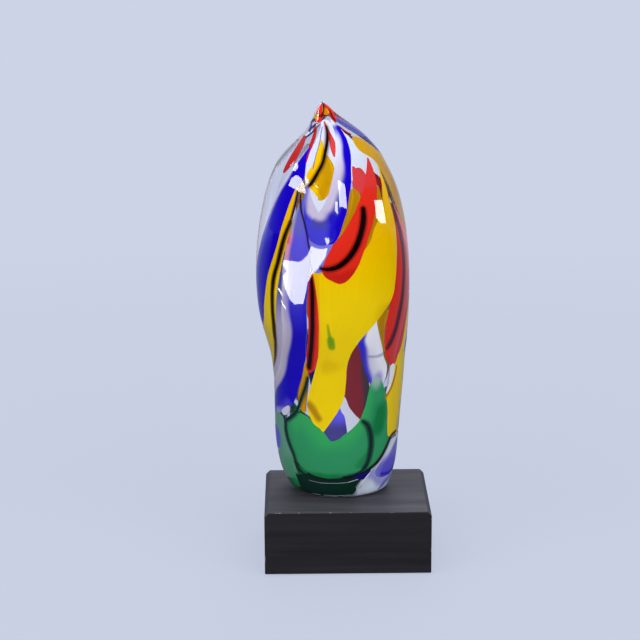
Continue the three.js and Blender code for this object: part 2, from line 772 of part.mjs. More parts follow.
// A slab of glass between two depths under the outer surface, inside a trail's edges.
function slab(shape, top, bottom, grow) {
  const pairs = edgesOf(shape, grow);
  const spans = edgesOf(shape, 0).map(([a, b]) => {
    const width = skin(a.x, a.y).distanceTo(skin(b.x, b.y));
    return Math.max(Math.abs(a.x - b.x) / facets.trailAngle, width / facets.trailWidth);
  });
  const columns = Math.max(1, Math.round(Math.max(...spans)));
  const points = [];
  for (const [a, b] of pairs) {
    for (let i = 0; i <= columns; i += 1) {
      const p = a.clone().lerp(b, i / columns);
      points.push(layer(p.x, p.y, top), layer(p.x, p.y, bottom));
    }
  }
  const upper = (row, column) => 2 * (row * (columns + 1) + column);
  const lower = (row, column) => upper(row, column) + 1;
  const triangles = [];
  const quad = (a, b, c, d) => {
    const straight = points[a].distanceTo(points[c]) <= points[b].distanceTo(points[d]);
    triangles.push(...(straight ? [a, b, c, a, c, d] : [b, c, d, b, d, a]));
  };
  const end = pairs.length - 1;
  for (let c = 0; c < columns; c += 1) {
    for (let r = 0; r < end; r += 1) {
      quad(upper(r, c), upper(r, c + 1), upper(r + 1, c + 1), upper(r + 1, c));
      quad(lower(r, c), lower(r + 1, c), lower(r + 1, c + 1), lower(r, c + 1));
    }
    quad(upper(0, c), lower(0, c), lower(0, c + 1), upper(0, c + 1));
    quad(upper(end, c), upper(end, c + 1), lower(end, c + 1), lower(end, c));
  }
  for (let r = 0; r < end; r += 1) {
    quad(upper(r, 0), upper(r + 1, 0), lower(r + 1, 0), lower(r, 0));
    quad(upper(r, columns), lower(r, columns), lower(r + 1, columns), upper(r + 1, columns));
  }
  const geometry = new THREE.BufferGeometry().setFromPoints(points);
  geometry.setIndex(triangles);
  return solidOf(geometry);
}

// The hollow that a trail or thread lies in, with the clearance all round it.
function bed(shape, depth) {
  return slab(shape, -overshoot, depth, clearance);
}

// The trails and threads, laid in order, and the beds for them. An earlier trail lies over a later
// one, which is cut back from it, and a thread is let into the tops of the trails that it crosses.
function layTrails() {
  const threadBeds = threads.map((t) => bed(t, thread.thickness + clearance));
  const trailBeds = trails.map((t) => bed(t, trail.thickness + clearance));
  const trailCuts = trails.map((t) => bed(t, trail.thickness + overshoot));
  const meshes = [];
  for (const [i, t] of threads.entries()) {
    let solid = slab(t, 0, thread.thickness, 0);
    for (const cut of threadBeds.slice(0, i)) solid = solid.subtract(cut);
    meshes.push(meshOf(t.name, mainBody(solid), black));
  }
  for (const [i, t] of trails.entries()) {
    let solid = slab(t, 0, trail.thickness, 0);
    for (const cut of [...threadBeds, ...trailCuts.slice(0, i)]) solid = solid.subtract(cut);
    const material = new THREE.MeshStandardMaterial({
      color: glassColours[t.glass],
      roughness: 0.1,
      metalness: 0,
    });
    meshes.push(meshOf(t.name, mainBody(solid), material));
  }
  return { meshes, beds: [...threadBeds, ...trailBeds] };
}

const { meshes, beds } = layTrails();
const sculpture = new THREE.Group();
sculpture.add(makeBlock(), makeFelt(), makeBond(), makeBody(beds), ...meshes);

export default sculpture;
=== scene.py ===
import math
from collections import namedtuple

import bpy
import numpy as np
from bpy.props import FloatProperty, FloatVectorProperty, PointerProperty
from mathutils import Matrix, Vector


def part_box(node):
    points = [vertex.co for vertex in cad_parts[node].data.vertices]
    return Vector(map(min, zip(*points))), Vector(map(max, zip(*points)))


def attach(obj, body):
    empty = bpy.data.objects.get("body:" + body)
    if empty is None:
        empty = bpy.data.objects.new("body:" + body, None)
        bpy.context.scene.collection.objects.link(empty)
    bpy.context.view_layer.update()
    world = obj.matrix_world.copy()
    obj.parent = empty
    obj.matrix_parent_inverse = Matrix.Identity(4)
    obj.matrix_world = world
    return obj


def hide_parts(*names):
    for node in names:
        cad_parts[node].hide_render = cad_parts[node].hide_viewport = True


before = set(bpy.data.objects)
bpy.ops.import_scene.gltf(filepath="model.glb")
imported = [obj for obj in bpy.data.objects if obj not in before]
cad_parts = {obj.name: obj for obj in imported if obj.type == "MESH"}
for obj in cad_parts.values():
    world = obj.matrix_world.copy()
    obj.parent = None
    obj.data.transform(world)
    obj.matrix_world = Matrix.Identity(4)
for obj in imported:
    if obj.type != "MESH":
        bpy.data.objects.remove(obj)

bl_info = {
    "name": "Studio Glass Sculpture",
    "version": (1, 0, 0),
    "blender": (4, 5, 0),
    "location": "3D View > Sidebar > Sculpture",
    "description": "A hollow glass sculpture with rolled-in colour trails on a black wooden block",
    "category": "Add Mesh",
}

MM = 0.001

# The form. Angles run from 0 at the front to the right, and heights from the foot to the tip.

# The outline of the blown form, foot to tip: height %, then the lean of the centre and the half
# width, both in % of the largest half width.
OUTLINE = np.array([
    (0, -7.6, 58.3), (1, -8.6, 64.8), (3.1, -10.2, 70.4), (7.3, -11.4, 76.9),
    (14, -12.1, 81.2), (22, -11, 83.4), (30, -9.7, 85.5), (35.4, -10.2, 87.9),
    (40, -11.9, 92.2), (45.8, -15.1, 97.4), (52, -16.4, 99.8), (58.4, -17.1, 100),
    (66, -17.3, 97.4), (73, -17.3, 91.6), (79.3, -17.9, 83.2), (84.3, -18.6, 72.1),
    (87.7, -17.3, 60.9), (91, -16, 44.9), (93.5, -17.7, 32), (95.6, -22, 21.4),
    (97.5, -26.3, 12.7), (99, -28.5, 6.5), (100, -29.4, 0.6),
])

# Hollows pressed into the hot glass: angle deg, height %, spread deg, reach %, depth %.
PRESSINGS = [(-36, 57.5, 14, 6.7, 2.4), (-8, 84.7, 13, 7.5, 5.2)]

# The bubble's rounded corner at its floor, as (rise in %, share that the wall is thicker there).
FLOOR_CORNER = [(0, 0.85), (0.25, 0.5), (0.6, 0.28), (1.2, 0.1), (2.0, 0.0)]

# The trails. How one is coloured: the colours across it as (place, colour), from its left or lower
# edge to its right or upper edge, at its start and at its end, and how far its soft borders wander.
Look = namedtuple("Look", "start end wander", defaults=(None, 0.1))

# A trail, thread or tint: its name, the name of its glass (black_glass for threads), look, points,
# and whether the points are rows.
Trail = namedtuple("Trail", "name slot look points in_rows")


def plain(tint, edge=None, wander=0.1):
    """One colour, with another at both edges where one is named."""
    other = edge or tint
    return Look([(0, other), (0.25, tint), (0.75, tint), (1, other)], None, wander)


def rows(name, glass, look, points):
    """A trail between two edges, with points of (height %, left deg, right deg)."""
    return Trail(name, glass + "_glass", look, points, True)


def path(name, glass, look, points):
    """A trail along a line, with points of (angle deg, height %, width in % of the half width)."""
    return Trail(name, glass + "_glass", look, points, False)


# The coloured trails, each laid over those after it.
TRAILS = [
    path("green_wave_trail", "green", Look([(0, "green"), (0.5, "green"), (1, "bright_green")]), [
        (-45, 22.8, 6.5), (-41, 20.7, 36.5), (-35.5, 16.9, 58.5), (-23.5, 12.6, 60.5), (-8, 10.9, 55),
        (8, 11.7, 56), (21.5, 14.4, 57), (32, 19, 45.5), (35.5, 23.6, 36.5), (35, 27.8, 27),
        (34, 30.8, 17.5), (33, 32.6, 6.5),
    ]),
    rows("red_sickle_trail", "red", plain("red", wander=0.05), [
        (87.2, 44, 46), (84.7, 38, 47), (81.4, 30.5, 45.5), (78.5, 24.5, 42), (75.1, 17.5, 37.5),
        (71.8, 10.5, 33), (68.8, 4, 28.5), (66.3, -2, 25.2), (64.2, -5.5, 22.3), (62.1, -8, 19.5),
        (60.5, -9, 16.5), (59, -6, 13), (58, -0.5, 9.5), (57.4, 3, 6),
    ]),
    rows("blue_pouch_trail", "blue", Look(
        [(0, "mist"), (0.34, "lavender"), (0.58, "blue"), (1, "blue")],
        [(0, "lavender"), (0.24, "lavender"), (0.46, "slate_violet"), (0.85, "blue"), (1, "blue")], 0.02,
    ), [
        (96, 8, 16), (94.4, 5, 20.5), (92, 3.8, 21), (88.5, 3.6, 20), (85, 2, 17.8), (82, -0.8, 15),
        (79.5, -3.8, 12.6), (77.3, -7, 10.4), (75.4, -10.8, 8.4), (73.6, -16, 6.6), (71.8, -19.5, 5),
        (70, -20.5, 3.3), (68.2, -18.5, 1), (66.9, -14, -4),
    ]),
    rows("blue_pouch_arm", "blue", Look(
        [(0, "lavender"), (0.3, "lavender"), (0.5, "blue"), (1, "blue")], wander=0.02,
    ), [
        (82.4, -24, -22.6), (80.4, -25, -20.8), (78.4, -25.4, -18.4), (76.4, -25.2, -15),
        (74.6, -24.4, -11.5), (72.6, -23.2, -12), (70.8, -21.8, -14), (69.4, -20, -16),
    ]),
    rows("blue_shoulder_trail", "blue", Look(
        [(0, "mist"), (0.1, "lavender"), (0.24, "deep_blue"), (1, "deep_blue")],
        [(0, "violet"), (0.2, "blue"), (0.42, "deep_blue"), (1, "deep_blue")], 0.05,
    ), [
        (89.7, -36.5, -33), (87.7, -39.5, -32), (85.1, -44, -28.5), (82.6, -48.5, -28),
        (79.3, -54.5, -35.5), (75.1, -60, -40), (70.9, -65, -44.5), (66.7, -70.5, -47.5), (62.6, -76, -52),
        (58.4, -82, -57.5), (54.2, -84, -61.5), (50, -83, -66), (46.7, -81, -70.5), (44.1, -79, -74),
    ]),
    rows("yellow_ribbon_left", "yellow", Look(
        [(0, "yellow"), (1, "yellow")], [(0, "low_yellow"), (0.85, "low_yellow"), (1, "straw")],
    ), [
        (80.5, -34.5, -32.5), (75.9, -39.5, -33.5), (70.9, -44, -35), (66.7, -47, -38), (62.6, -51.5, -41),
        (58.4, -57, -44), (54.2, -61, -46.5), (50, -65.5, -48.5), (45.8, -71, -50.5), (42.1, -90, -54.5),
        (38.3, -103, -60.5), (34.1, -113, -71.5), (30.3, -117.5, -92),
    ]),
    rows("blue_white_trail", "blue", Look(
        [(0, "lavender"), (0.1, "lavender"), (0.3, "violet"), (0.75, "violet"), (1, "blue")],
        [(0, "grey_white"), (0.3, "lavender"), (0.46, "deep_blue"), (1, "deep_blue")], 0.06,
    ), [
        (78, -28, -25.5), (73.4, -33, -21.5), (68, -37, -19), (62.6, -40.5, -16.5), (57.5, -43, -18.5),
        (52.1, -44, -21), (45.8, -45, -22), (41.6, -49, -25.5), (37.4, -56.5, -28.5), (33.3, -66, -33.5),
        (29.9, -80, -38), (27, -98.5, -42), (24.5, -107.5, -47.5), (22, -105, -61.5), (20.7, -96, -78),
    ]),
    rows("red_strip_centre", "red", plain("red", wander=0.05), [
        (60, -17.5, -15.5), (56.7, -19, -13.5), (52.1, -20, -12), (46.7, -20.5, -12), (42.5, -23, -14),
        (38.7, -27, -16.5), (35.8, -28.5, -20), (33.9, -28.5, -24.5),
    ]),
    rows("yellow_main_trail", "yellow", Look(
        [(0, "yellow"), (1, "yellow")], [(0, "low_yellow"), (1, "low_yellow")], 0.08,
    ), [
        (85.1, 55.9, 57.7), (81.8, 52.3, 57.2), (78.5, 49, 56.4), (74.7, 44.8, 56.8), (70.9, 34, 57.7),
        (66.7, 27, 57.2), (63.6, 14, 56.2), (61.2, -6, 55), (59, -11, 54), (56.7, -11.5, 53),
        (53.3, -11.5, 50.2), (50, -11.5, 42), (45.8, -12, 29), (42.5, -13.5, 18.3), (39.1, -16.2, 10.4),
        (35.8, -19.7, 6.5), (31.6, -24.6, 5.5), (27.4, -28.8, 3.8), (24.1, -29.2, -0.5), (20.7, -23.6, -8),
        (18.4, -17, -13.5),
    ]),
    rows("amber_strip_left", "amber", plain("dull_yellow", "amber"), [
        (36.6, -30.5, -28.5), (32.8, -34, -27.5), (29.1, -38.5, -29), (25.7, -39.5, -30.5),
        (23.2, -34.5, -31),
    ]),
    rows("amber_strip_centre", "amber", plain("amber", "dull_yellow"), [
        (80.5, 17.5, 20.5), (78.5, 16, 24.5), (75.9, 14, 19.5), (73, 10.5, 15.5), (70.5, 7, 12),
        (68.4, 4.5, 7.5),
    ]),
    rows("rose_patch", "rose", plain("rose"), [
        (85.6, 21.5, 23.5), (83.5, 20, 31), (81.4, 19, 30), (79.7, 18.5, 26.5), (78.7, 19.5, 24.5),
    ]),
    rows("yellow_drop", "amber_yellow", Look(
        [(0, "yellow"), (0.35, "yellow"), (0.6, "dull_yellow"), (1, "dull_yellow")],
    ), [
        (91.4, -23, -19.5), (88.5, -22.3, -9.5), (86, -22.5, -2.5), (83.9, -26, 0.5), (81.8, -25.5, -1.5),
        (79.7, -18, -4.8), (77.8, -11, -7.5),
    ]),
    rows("red_fleck_right", "red", plain("rose", "red"), [
        (95.6, -18.5, -12), (93.5, -14.5, -6), (91.4, -8.5, 2), (89.7, -5, 3.5), (87.7, 1, 3),
    ]),
    rows("red_fleck_left", "red", plain("deep_red", "brick"), [
        (94.4, -48.5, -41), (92.3, -43, -35.5), (90.2, -39, -33.5), (88.1, -34, -30.5), (86.4, -32, -29.5),
    ]),
    rows("red_streak_left", "red", plain("deep_red", "brick"), [
        (92.1, -70.5, -60), (90.2, -65, -51), (88.5, -60.5, -47.5), (86.8, -58.5, -46),
        (85.1, -57.5, -49.5), (83.5, -57, -54),
    ]),
    rows("yellow_shoulder_trail", "amber_yellow", Look(
        [(0, "dull_yellow"), (1, "dull_yellow")], [(0, "dull_yellow"), (0.4, "amber"), (1, "straw")],
    ), [
        (92.1, 36.5, 49.5), (90.6, 33, 63.5), (88.9, 36.5, 74), (86.8, 51, 85), (84.3, 58, 92),
        (81, 61.5, 96), (77.2, 64, 97.5), (73.4, 67.5, 96), (70.1, 71.5, 93), (67.2, 78, 88),
    ]),
    rows("dark_red_fleck", "dark_red", plain("maroon", "deep_red"), [
        (83.9, 44.5, 46.5), (81.8, 45.5, 53.5), (79.3, 46, 49), (77.6, 45.5, 47.5),
    ]),
    rows("red_edge_trail", "red", Look(
        [(0, "brick"), (0.32, "brick"), (0.5, "rose"), (0.7, "pink"), (1, "pink")],
        [(0, "red"), (0.6, "rose"), (1, "light_rose")], 0.06,
    ), [
        (77.6, 56.8, 58.4), (74.3, 57.7, 64), (70.9, 58, 70), (67.6, 57.5, 78), (64.2, 56.8, 86),
        (60, 54.5, 88), (55.9, 51, 85), (51.7, 46.8, 78), (47.5, 43.3, 70.5), (44.1, 41.5, 65.5),
        (40.8, 41.2, 61.5), (37.9, 42.3, 58), (35.8, 47, 56), (34.5, 51, 54.5),
    ]),
    rows("amber_strip_right", "amber", plain("amber", "dull_yellow"), [
        (50, 40.5, 45), (47.5, 34, 43), (45, 35, 41), (42.1, 37, 40), (39.1, 39.5, 41.5),
    ]),
    rows("white_blue_trail", "white", Look(
        [(0, "blue"), (0.2, "blue"), (0.34, "white"), (1, "white")],
        [(0, "blue"), (0.15, "violet"), (0.3, "grey_white"), (0.8, "white"), (1, "white")], 0.06,
    ), [
        (47.5, 29.5, 33), (45, 21.5, 34.5), (42.5, 16, 36.5), (40, 17, 39), (37.4, 19, 41),
        (34.9, 21, 45.5), (32.4, 24.5, 45), (30.3, 29, 42.5), (28.2, 34.5, 40),
    ]),
    rows("yellow_low_trail", "yellow", Look(
        [(0, "low_yellow"), (0.6, "low_yellow"), (0.9, "straw"), (1, "straw")],
    ), [
        (37.9, 61.5, 72.5), (35.4, 58, 86), (32.4, 53, 92), (29.1, 48.5, 95), (25.7, 47, 96),
        (22.4, 49.5, 95), (19, 50.5, 92), (16.5, 52, 87), (15.3, 53.5, 74),
    ]),
    rows("blue_edge_trail", "violet", Look(
        [(0, "low_yellow"), (0.22, "low_yellow"), (0.32, "violet"), (0.7, "soft_violet"), (1, "mist")],
        wander=0.02,
    ), [
        (41.2, 72.5, 84), (38.3, 68.5, 92), (34.9, 67.5, 96), (31.6, 69, 95), (29.1, 73, 88),
    ]),
    rows("violet_foot_trail", "violet", Look(
        [(0, "foot_white"), (0.3, "soft_violet"), (0.6, "soft_violet"), (1, "foot_white")],
        [(0, "soft_violet"), (0.25, "violet"), (1, "violet")], 0.15,
    ), [
        (14, 72.5, 82), (12.3, 60, 87), (10.7, 51, 88), (9, 44, 88), (7.3, 38.5, 86), (5.6, 40, 82),
        (4.4, 47.5, 70.5),
    ]),
    rows("white_foot_trail", "white", plain("foot_white", "mist"), [
        (14.6, 58, 100.5), (12.3, 50, 105), (9.8, 43, 105), (7.3, 34.5, 103), (4.8, 26.5, 98.5),
        (2.7, 20.5, 92), (1, 19.5, 84),
    ]),
    rows("violet_patch_left", "violet", Look(
        [(0, "mist"), (0.2, "violet"), (0.75, "violet"), (1, "sea_green")],
    ), [
        (17.8, -84, -73), (16.1, -91, -66), (14.4, -93, -63.5), (12.3, -91, -65), (10.7, -85, -73),
    ]),
    rows("green_side_trail", "sea_green", Look(
        [(0, "mist"), (0.35, "sea_green"), (1, "sea_green")], wander=0.15,
    ), [
        (21.1, -92, -60), (19, -100.5, -59), (16.5, -100.5, -55), (14, -98.5, -51), (11.5, -96, -47.5),
        (9, -93, -45.5), (6.5, -88, -44.5), (4, -82, -44.5), (1.9, -74, -45.5),
    ]),
    rows("green_foot_trail", "dark_green", plain("foot_green"), [
        (5.4, -34.5, 8), (4, -42, 16.5), (2.5, -44, 19), (1, -40, 18),
    ]),
    rows("violet_peak_trail", "violet", plain("slate_violet", "dusk_violet"), [
        (96.4, 26.5, 40), (95.2, 34.5, 54.5), (93.9, 44, 66.5), (92.7, 54.5, 78), (91.6, 66.5, 84),
    ]),
    rows("red_peak_fleck", "dark_red", plain("maroon"), [
        (94.6, 22.5, 25.5), (93.3, 24.5, 33), (92.4, 28.5, 44),
    ]),
    rows("blue_peak_trail", "blue", plain("slate_violet", "mist"), [
        (95.8, -78, -63.5), (94.4, -72.5, -54.5), (92.9, -63.5, -49.5),
    ]),
    rows("red_tip_trail", "red", plain("red"), [
        (96.6, -58, -21.5), (95.9, -63.5, -25.5), (95.2, -56.5, -33),
    ]),
    rows("red_back_trail", "red", plain("back_maroon"), [
        (63.4, 143, 147), (58.4, 142, 155), (52.5, 143, 160), (46.7, 147, 163), (40.4, 151, 167),
        (34.1, 155.5, 171), (28.2, 157.5, 173.5), (23.2, 156, 174.5), (19, 154, 174.5), (15.7, 155, 169),
        (13.6, 158, 163),
    ]),
    rows("blue_white_back_trail", "blue", Look(
        [(0, "white"), (0.4, "grey_white"), (0.55, "blue"), (1, "blue")],
        [(0, "white"), (0.4, "grey_white"), (0.5, "deep_blue"), (1, "blue")],
    ), [
        (39.1, 206, 212), (34.5, 198, 213), (29.9, 191, 212), (25.7, 184, 209), (21.5, 177, 205),
        (18.2, 172, 202), (14.9, 168, 200), (11.5, 166, 197), (8.6, 169, 193), (6.9, 176, 187),
    ]),
    rows("yellow_back_trail", "yellow", plain("yellow", "dull_yellow"), [
        (87.7, 197, 202), (83.5, 191, 211), (77.6, 185, 214), (70.9, 178, 214), (65.1, 171, 212),
        (59.2, 168, 209), (53.3, 167, 207), (47.5, 170, 206), (42.5, 176, 205), (37.9, 185, 201),
        (34.1, 190, 195),
    ]),
    rows("blue_back_trail", "blue", plain("deep_blue", "blue"), [
        (89.7, 150, 157), (85.1, 141, 160), (80.1, 133, 158), (75.1, 127, 153), (70.1, 122, 147),
        (65.1, 117, 138), (60.9, 115, 128), (58.4, 116, 121),
    ]),
    rows("yellow_back_side_trail", "yellow", plain("low_yellow", "dull_yellow"), [
        (56.7, 111, 120), (52.5, 107, 133), (48.3, 105, 138), (44.1, 104.5, 142), (39.1, 105.5, 147),
        (34.1, 107, 151), (29.5, 112, 152), (26.2, 121, 147), (24.1, 130, 140),
    ]),
    rows("red_back_side_trail", "red", plain("red", "deep_red"), [
        (80.1, 236, 240), (74.3, 230, 246), (68.4, 226, 249), (62.6, 224, 249), (56.7, 224, 247),
        (50.8, 226, 243), (45.8, 230, 239), (43.7, 233, 236),
    ]),
    rows("white_back_trail", "white", plain("white", "grey_white"), [
        (88.5, 212, 222), (84.3, 214, 230), (79.3, 216.5, 230), (73.8, 217, 227), (68.8, 216.5, 222.5),
        (65.1, 215.5, 218),
    ]),
    rows("violet_back_trail", "violet", plain("violet", "lavender"), [
        (42.5, 212, 221), (39.1, 214.5, 229), (35.4, 216, 234), (31.6, 216, 236), (28.2, 214, 238),
        (24.9, 212, 238), (22.4, 213, 233), (20.7, 217, 228),
    ]),
    path("green_back_wave_trail", "green", Look([(0, "dark_green"), (0.5, "green"), (1, "bright_green")]), [
        (114, 25.3, 6.5), (119, 21.1, 30), (130, 15.3, 47.5), (150, 10.3, 52), (176, 8.2, 49.5),
        (200, 8.6, 49.5), (220, 12.3, 47.5), (234, 17.4, 30), (240, 21.5, 8.5),
    ]),
    rows("red_back_peak_trail", "red", plain("red", "rose"), [
        (94.8, 172, 196), (92.3, 166, 202), (89.7, 166, 196), (87.7, 171, 188),
    ]),
]

# The black threads, let into the tops of the trails that they cross.
THREADS = [
    path("thread_sickle", "black", plain("black", "wine_black"), [
        (25.3, 76, 5.5), (24.5, 73, 7.5), (21.5, 69.7, 7.5), (17, 66.5, 7.5), (11, 63.8, 7), (4, 61.9, 6.5),
        (-3.5, 61.1, 5), (-10, 61.3, 2),
    ]),
    path("thread_left", "black", plain("black", "olive_black"), [
        (-35.5, 72.2, 2), (-40, 68.8, 4), (-45, 62.6, 4.5), (-49.5, 58.4, 4.5), (-52, 54.2, 4.5),
        (-53, 50, 4.5), (-54, 45.8, 4.5), (-57.5, 42.1, 4.5), (-61.5, 39.3, 4.5), (-68.5, 36.2, 4),
        (-78, 33.3, 2),
    ]),
    path("thread_centre", "black", plain("black", "wine_black"), [
        (-16.5, 59.2, 2.5), (-16, 55, 5), (-16.5, 50, 5), (-17.5, 45.8, 5), (-20.5, 41.6, 5),
        (-24, 37.9, 5.5), (-26.5, 34.9, 5),
    ]),
    path("thread_right", "black", plain("plum_black", "plum"), [
        (57.5, 77.6, 2), (59.5, 74.3, 4), (62.5, 70.9, 5), (65, 67.6, 5.5), (66.5, 63.8, 6),
        (66.5, 59.6, 6), (64.5, 55.4, 5.5), (62, 51.7, 5.5), (58, 47.9, 5.5), (53.5, 44.1, 5),
        (47.5, 41, 5), (43.5, 39.5, 3),
    ]),
    path("thread_drop", "black", plain("black", "olive_black"), [
        (-12.3, 94.6, 2), (-11, 91, 4), (-11, 86.8, 4), (-15, 84.1, 4.5), (-19.5, 81.8, 5),
        (-22.5, 80.8, 2.5),
    ]),
    path("thread_pouch_side", "black", plain("black", "slate_violet"), [
        (-29, 79.1, 2.2), (-27, 75.5, 1.8), (-23.3, 72.4, 1.6), (-20.3, 69.2, 1.5), (-18.6, 66.7, 1.5),
        (-16.5, 64.9, 1.2),
    ]),
    path("thread_green", "black", plain("teal_black", "teal"), [
        (21.5, 21.3, 3.5), (26.5, 20.1, 5.5), (30, 18, 6), (32, 15.3, 6), (32, 12.8, 6), (29.5, 10, 5),
        (24.5, 8.2, 3.5),
    ]),
    path("thread_lower_left", "black", plain("teal_black", "teal"), [
        (-28, 32.8, 3.5), (-30.5, 30.3, 4.5), (-34, 27.8, 4.5), (-37.5, 25.3, 4.5), (-41.5, 23, 5),
        (-48.5, 21.3, 5), (-54.5, 20.1, 5), (-56, 18.2, 5), (-53.5, 15.7, 5), (-49.5, 13.4, 4.5),
        (-46, 11.3, 4), (-44, 9, 3.5), (-41.5, 6.9, 3),
    ]),
    path("thread_foot_right", "black", plain("black", "teal_black"), [
        (71.5, 16.1, 2.5), (65, 15.9, 3.5), (59, 15.3, 4), (53.5, 13.2, 4), (47.5, 11.1, 4), (41, 9.4, 4),
        (34, 8.2, 4), (25.5, 7.1, 4), (15.5, 6.4, 3.5), (4, 6, 2.5),
    ]),
    path("thread_back", "black", plain("black", "wine_black"), [
        (146, 56.7, 2.5), (151, 50, 5), (157, 42.9, 5.5), (161.5, 35.8, 6), (160.5, 28.2, 6.5),
        (158.5, 22.8, 6), (159.5, 17.8, 3.5),
    ]),
    path("thread_back_side", "black", plain("black", "wine_black"), [
        (238, 76.4, 2.5), (237.5, 70.5, 5), (236.5, 64.2, 5), (235.5, 57.5, 5), (235, 50.8, 5),
        (235, 46.7, 2.5),
    ]),
]

# Fine lines, drops and flecks of colour, too thin to be solids of their own: in the drawn-out tip,
# in the right edge, at the ends of some trails and in the foot; and painted highlights in the foot:
# glints along its lower edge and a pale arc at the bottom corner of the bubble.
TRACES = [
    path("foot_line", "black", plain("teal_black"), [
        (-45.5, 9.6, 2), (-42.5, 7.6, 2.8), (-31, 6, 2.2), (-18, 5.6, 1.4), (-6, 5.6, 1.6), (4, 5.9, 2),
    ]),
    rows("tip_grey", "white", plain("grey_white", "mist"), [
        (99.8, -70, -20), (99.2, -86, -34), (98, -96, -54), (96.5, -100, -70), (95.3, -104, -82),
        (93.3, -106, -76), (91.4, -110, -84),
    ]),
    path("tip_line_left", "black", plain("black"), [(9, 99.4, 1), (-2, 98.4, 1.6), (-14, 97.2, 1)]),
    path("tip_line_right", "black", plain("black"), [
        (44, 98.2, 1), (32, 97.2, 1.6), (26, 96.4, 1.8), (25, 95.6, 1.2),
    ]),
    rows("tip_red_left", "red", plain("red"), [
        (99.5, -36, -2), (98.7, -56, -10), (97.9, -64, -14), (97.3, -60, -24), (97, -44, -32),
    ]),
    rows("tip_orange", "amber_yellow", plain("orange", "yellow"), [
        (98.8, -8, 10), (98.3, -12, 30), (97.6, -16, 30), (97.1, -20, 22),
    ]),
    rows("tip_yellow_left", "amber_yellow", plain("dull_yellow", "amber"), [
        (97.5, -66, -34), (96.8, -76, -40), (96, -62, -42), (95.6, -56, -48),
    ]),
    rows("tip_red_right", "red", plain("red", "deep_red"), [
        (99.5, 6, 75), (98.8, 18, 92), (98, 28, 84), (97, 20, 50), (96, 18, 36), (95.4, 22, 28),
    ]),
    path("slash_high", "black", plain("black", "slate_violet"), [
        (-52, 95.9, 1.5), (-62, 95.6, 4), (-76, 95.2, 2.5),
    ]),
    path("slash_middle", "black", plain("black", "slate_violet"), [
        (-46, 94.9, 1.5), (-54, 94.1, 3), (-64, 93.2, 2),
    ]),
    path("slash_low", "black", plain("black", "slate_violet"), [
        (-43, 93.7, 1.2), (-51, 92.5, 2.6), (-58, 91.7, 1.5),
    ]),
    # A painted highlight: the pale arc at the bottom corner of the bubble.
    path("foot_arc_painted_highlight", "white", plain("grey_white"), [
        (-32, 4.9, 0.6), (-20, 4.5, 1.3), (-8, 4.5, 1.4), (8, 4.7, 1.3), (20, 5.4, 0.8),
    ]),
    rows("chip_left", "white", plain("mist", "grey_white"), [
        (24.3, -52, -50), (23.2, -59, -49.5), (22.2, -63, -52), (21.3, -60, -56),
    ]),
    rows("chip_right", "white", plain("white"), [
        (35, 49.5, 57), (32.6, 49.3, 56), (30.6, 49, 54), (28.6, 47, 50.6), (27.4, 45.8, 47.2),
    ]),
    path("line_low_right", "amber", plain("orange", "amber"), [
        (59.5, 34.4, 3), (58.5, 32.4, 4), (56, 30.6, 4.5), (52.5, 28.6, 4.5), (47.5, 27, 4), (45, 26.2, 3),
    ]),
    path("line_left_top", "black", plain("black", "slate_violet"), [
        (-32, 79.7, 1.5), (-32.3, 77.8, 2.6), (-34, 74.7, 3), (-36, 72.2, 2),
    ]),
    path("line_drop", "violet", plain("slate_violet"), [
        (-23.5, 94.4, 0.5), (-25, 93, 0.8), (-23.5, 91.4, 0.8), (-22.2, 89.6, 0.8), (-21, 87, 0.8),
        (-20.3, 84.8, 0.5),
    ]),
    path("line_green_tail", "black", plain("teal_black", "teal"), [
        (29.2, 9.6, 2.6), (27.5, 8.6, 2.4), (21, 7.5, 2), (12.5, 6.7, 1.6), (4.5, 6.3, 1.2),
    ]),
    rows("foot_navy", "blue", plain("navy"), [
        (7.6, 31, 34.5), (7, 22, 33), (6.3, 14, 30.5), (5.6, 18, 28), (5.1, 23, 26.5),
    ]),
    # Painted highlights: glints along the foot's lower edge.
    path("foot_painted_glint_left", "white", plain("white", "straw"), [
        (-39, 0.5, 1), (-31, 0.6, 1.8), (-25, 0.6, 1),
    ]),
    path("foot_painted_glint_right", "white", plain("foot_white"), [
        (-21, 0.6, 0.8), (-0.5, 0.7, 1), (13.5, 0.7, 1.2), (32.5, 0.5, 1),
    ]),
]

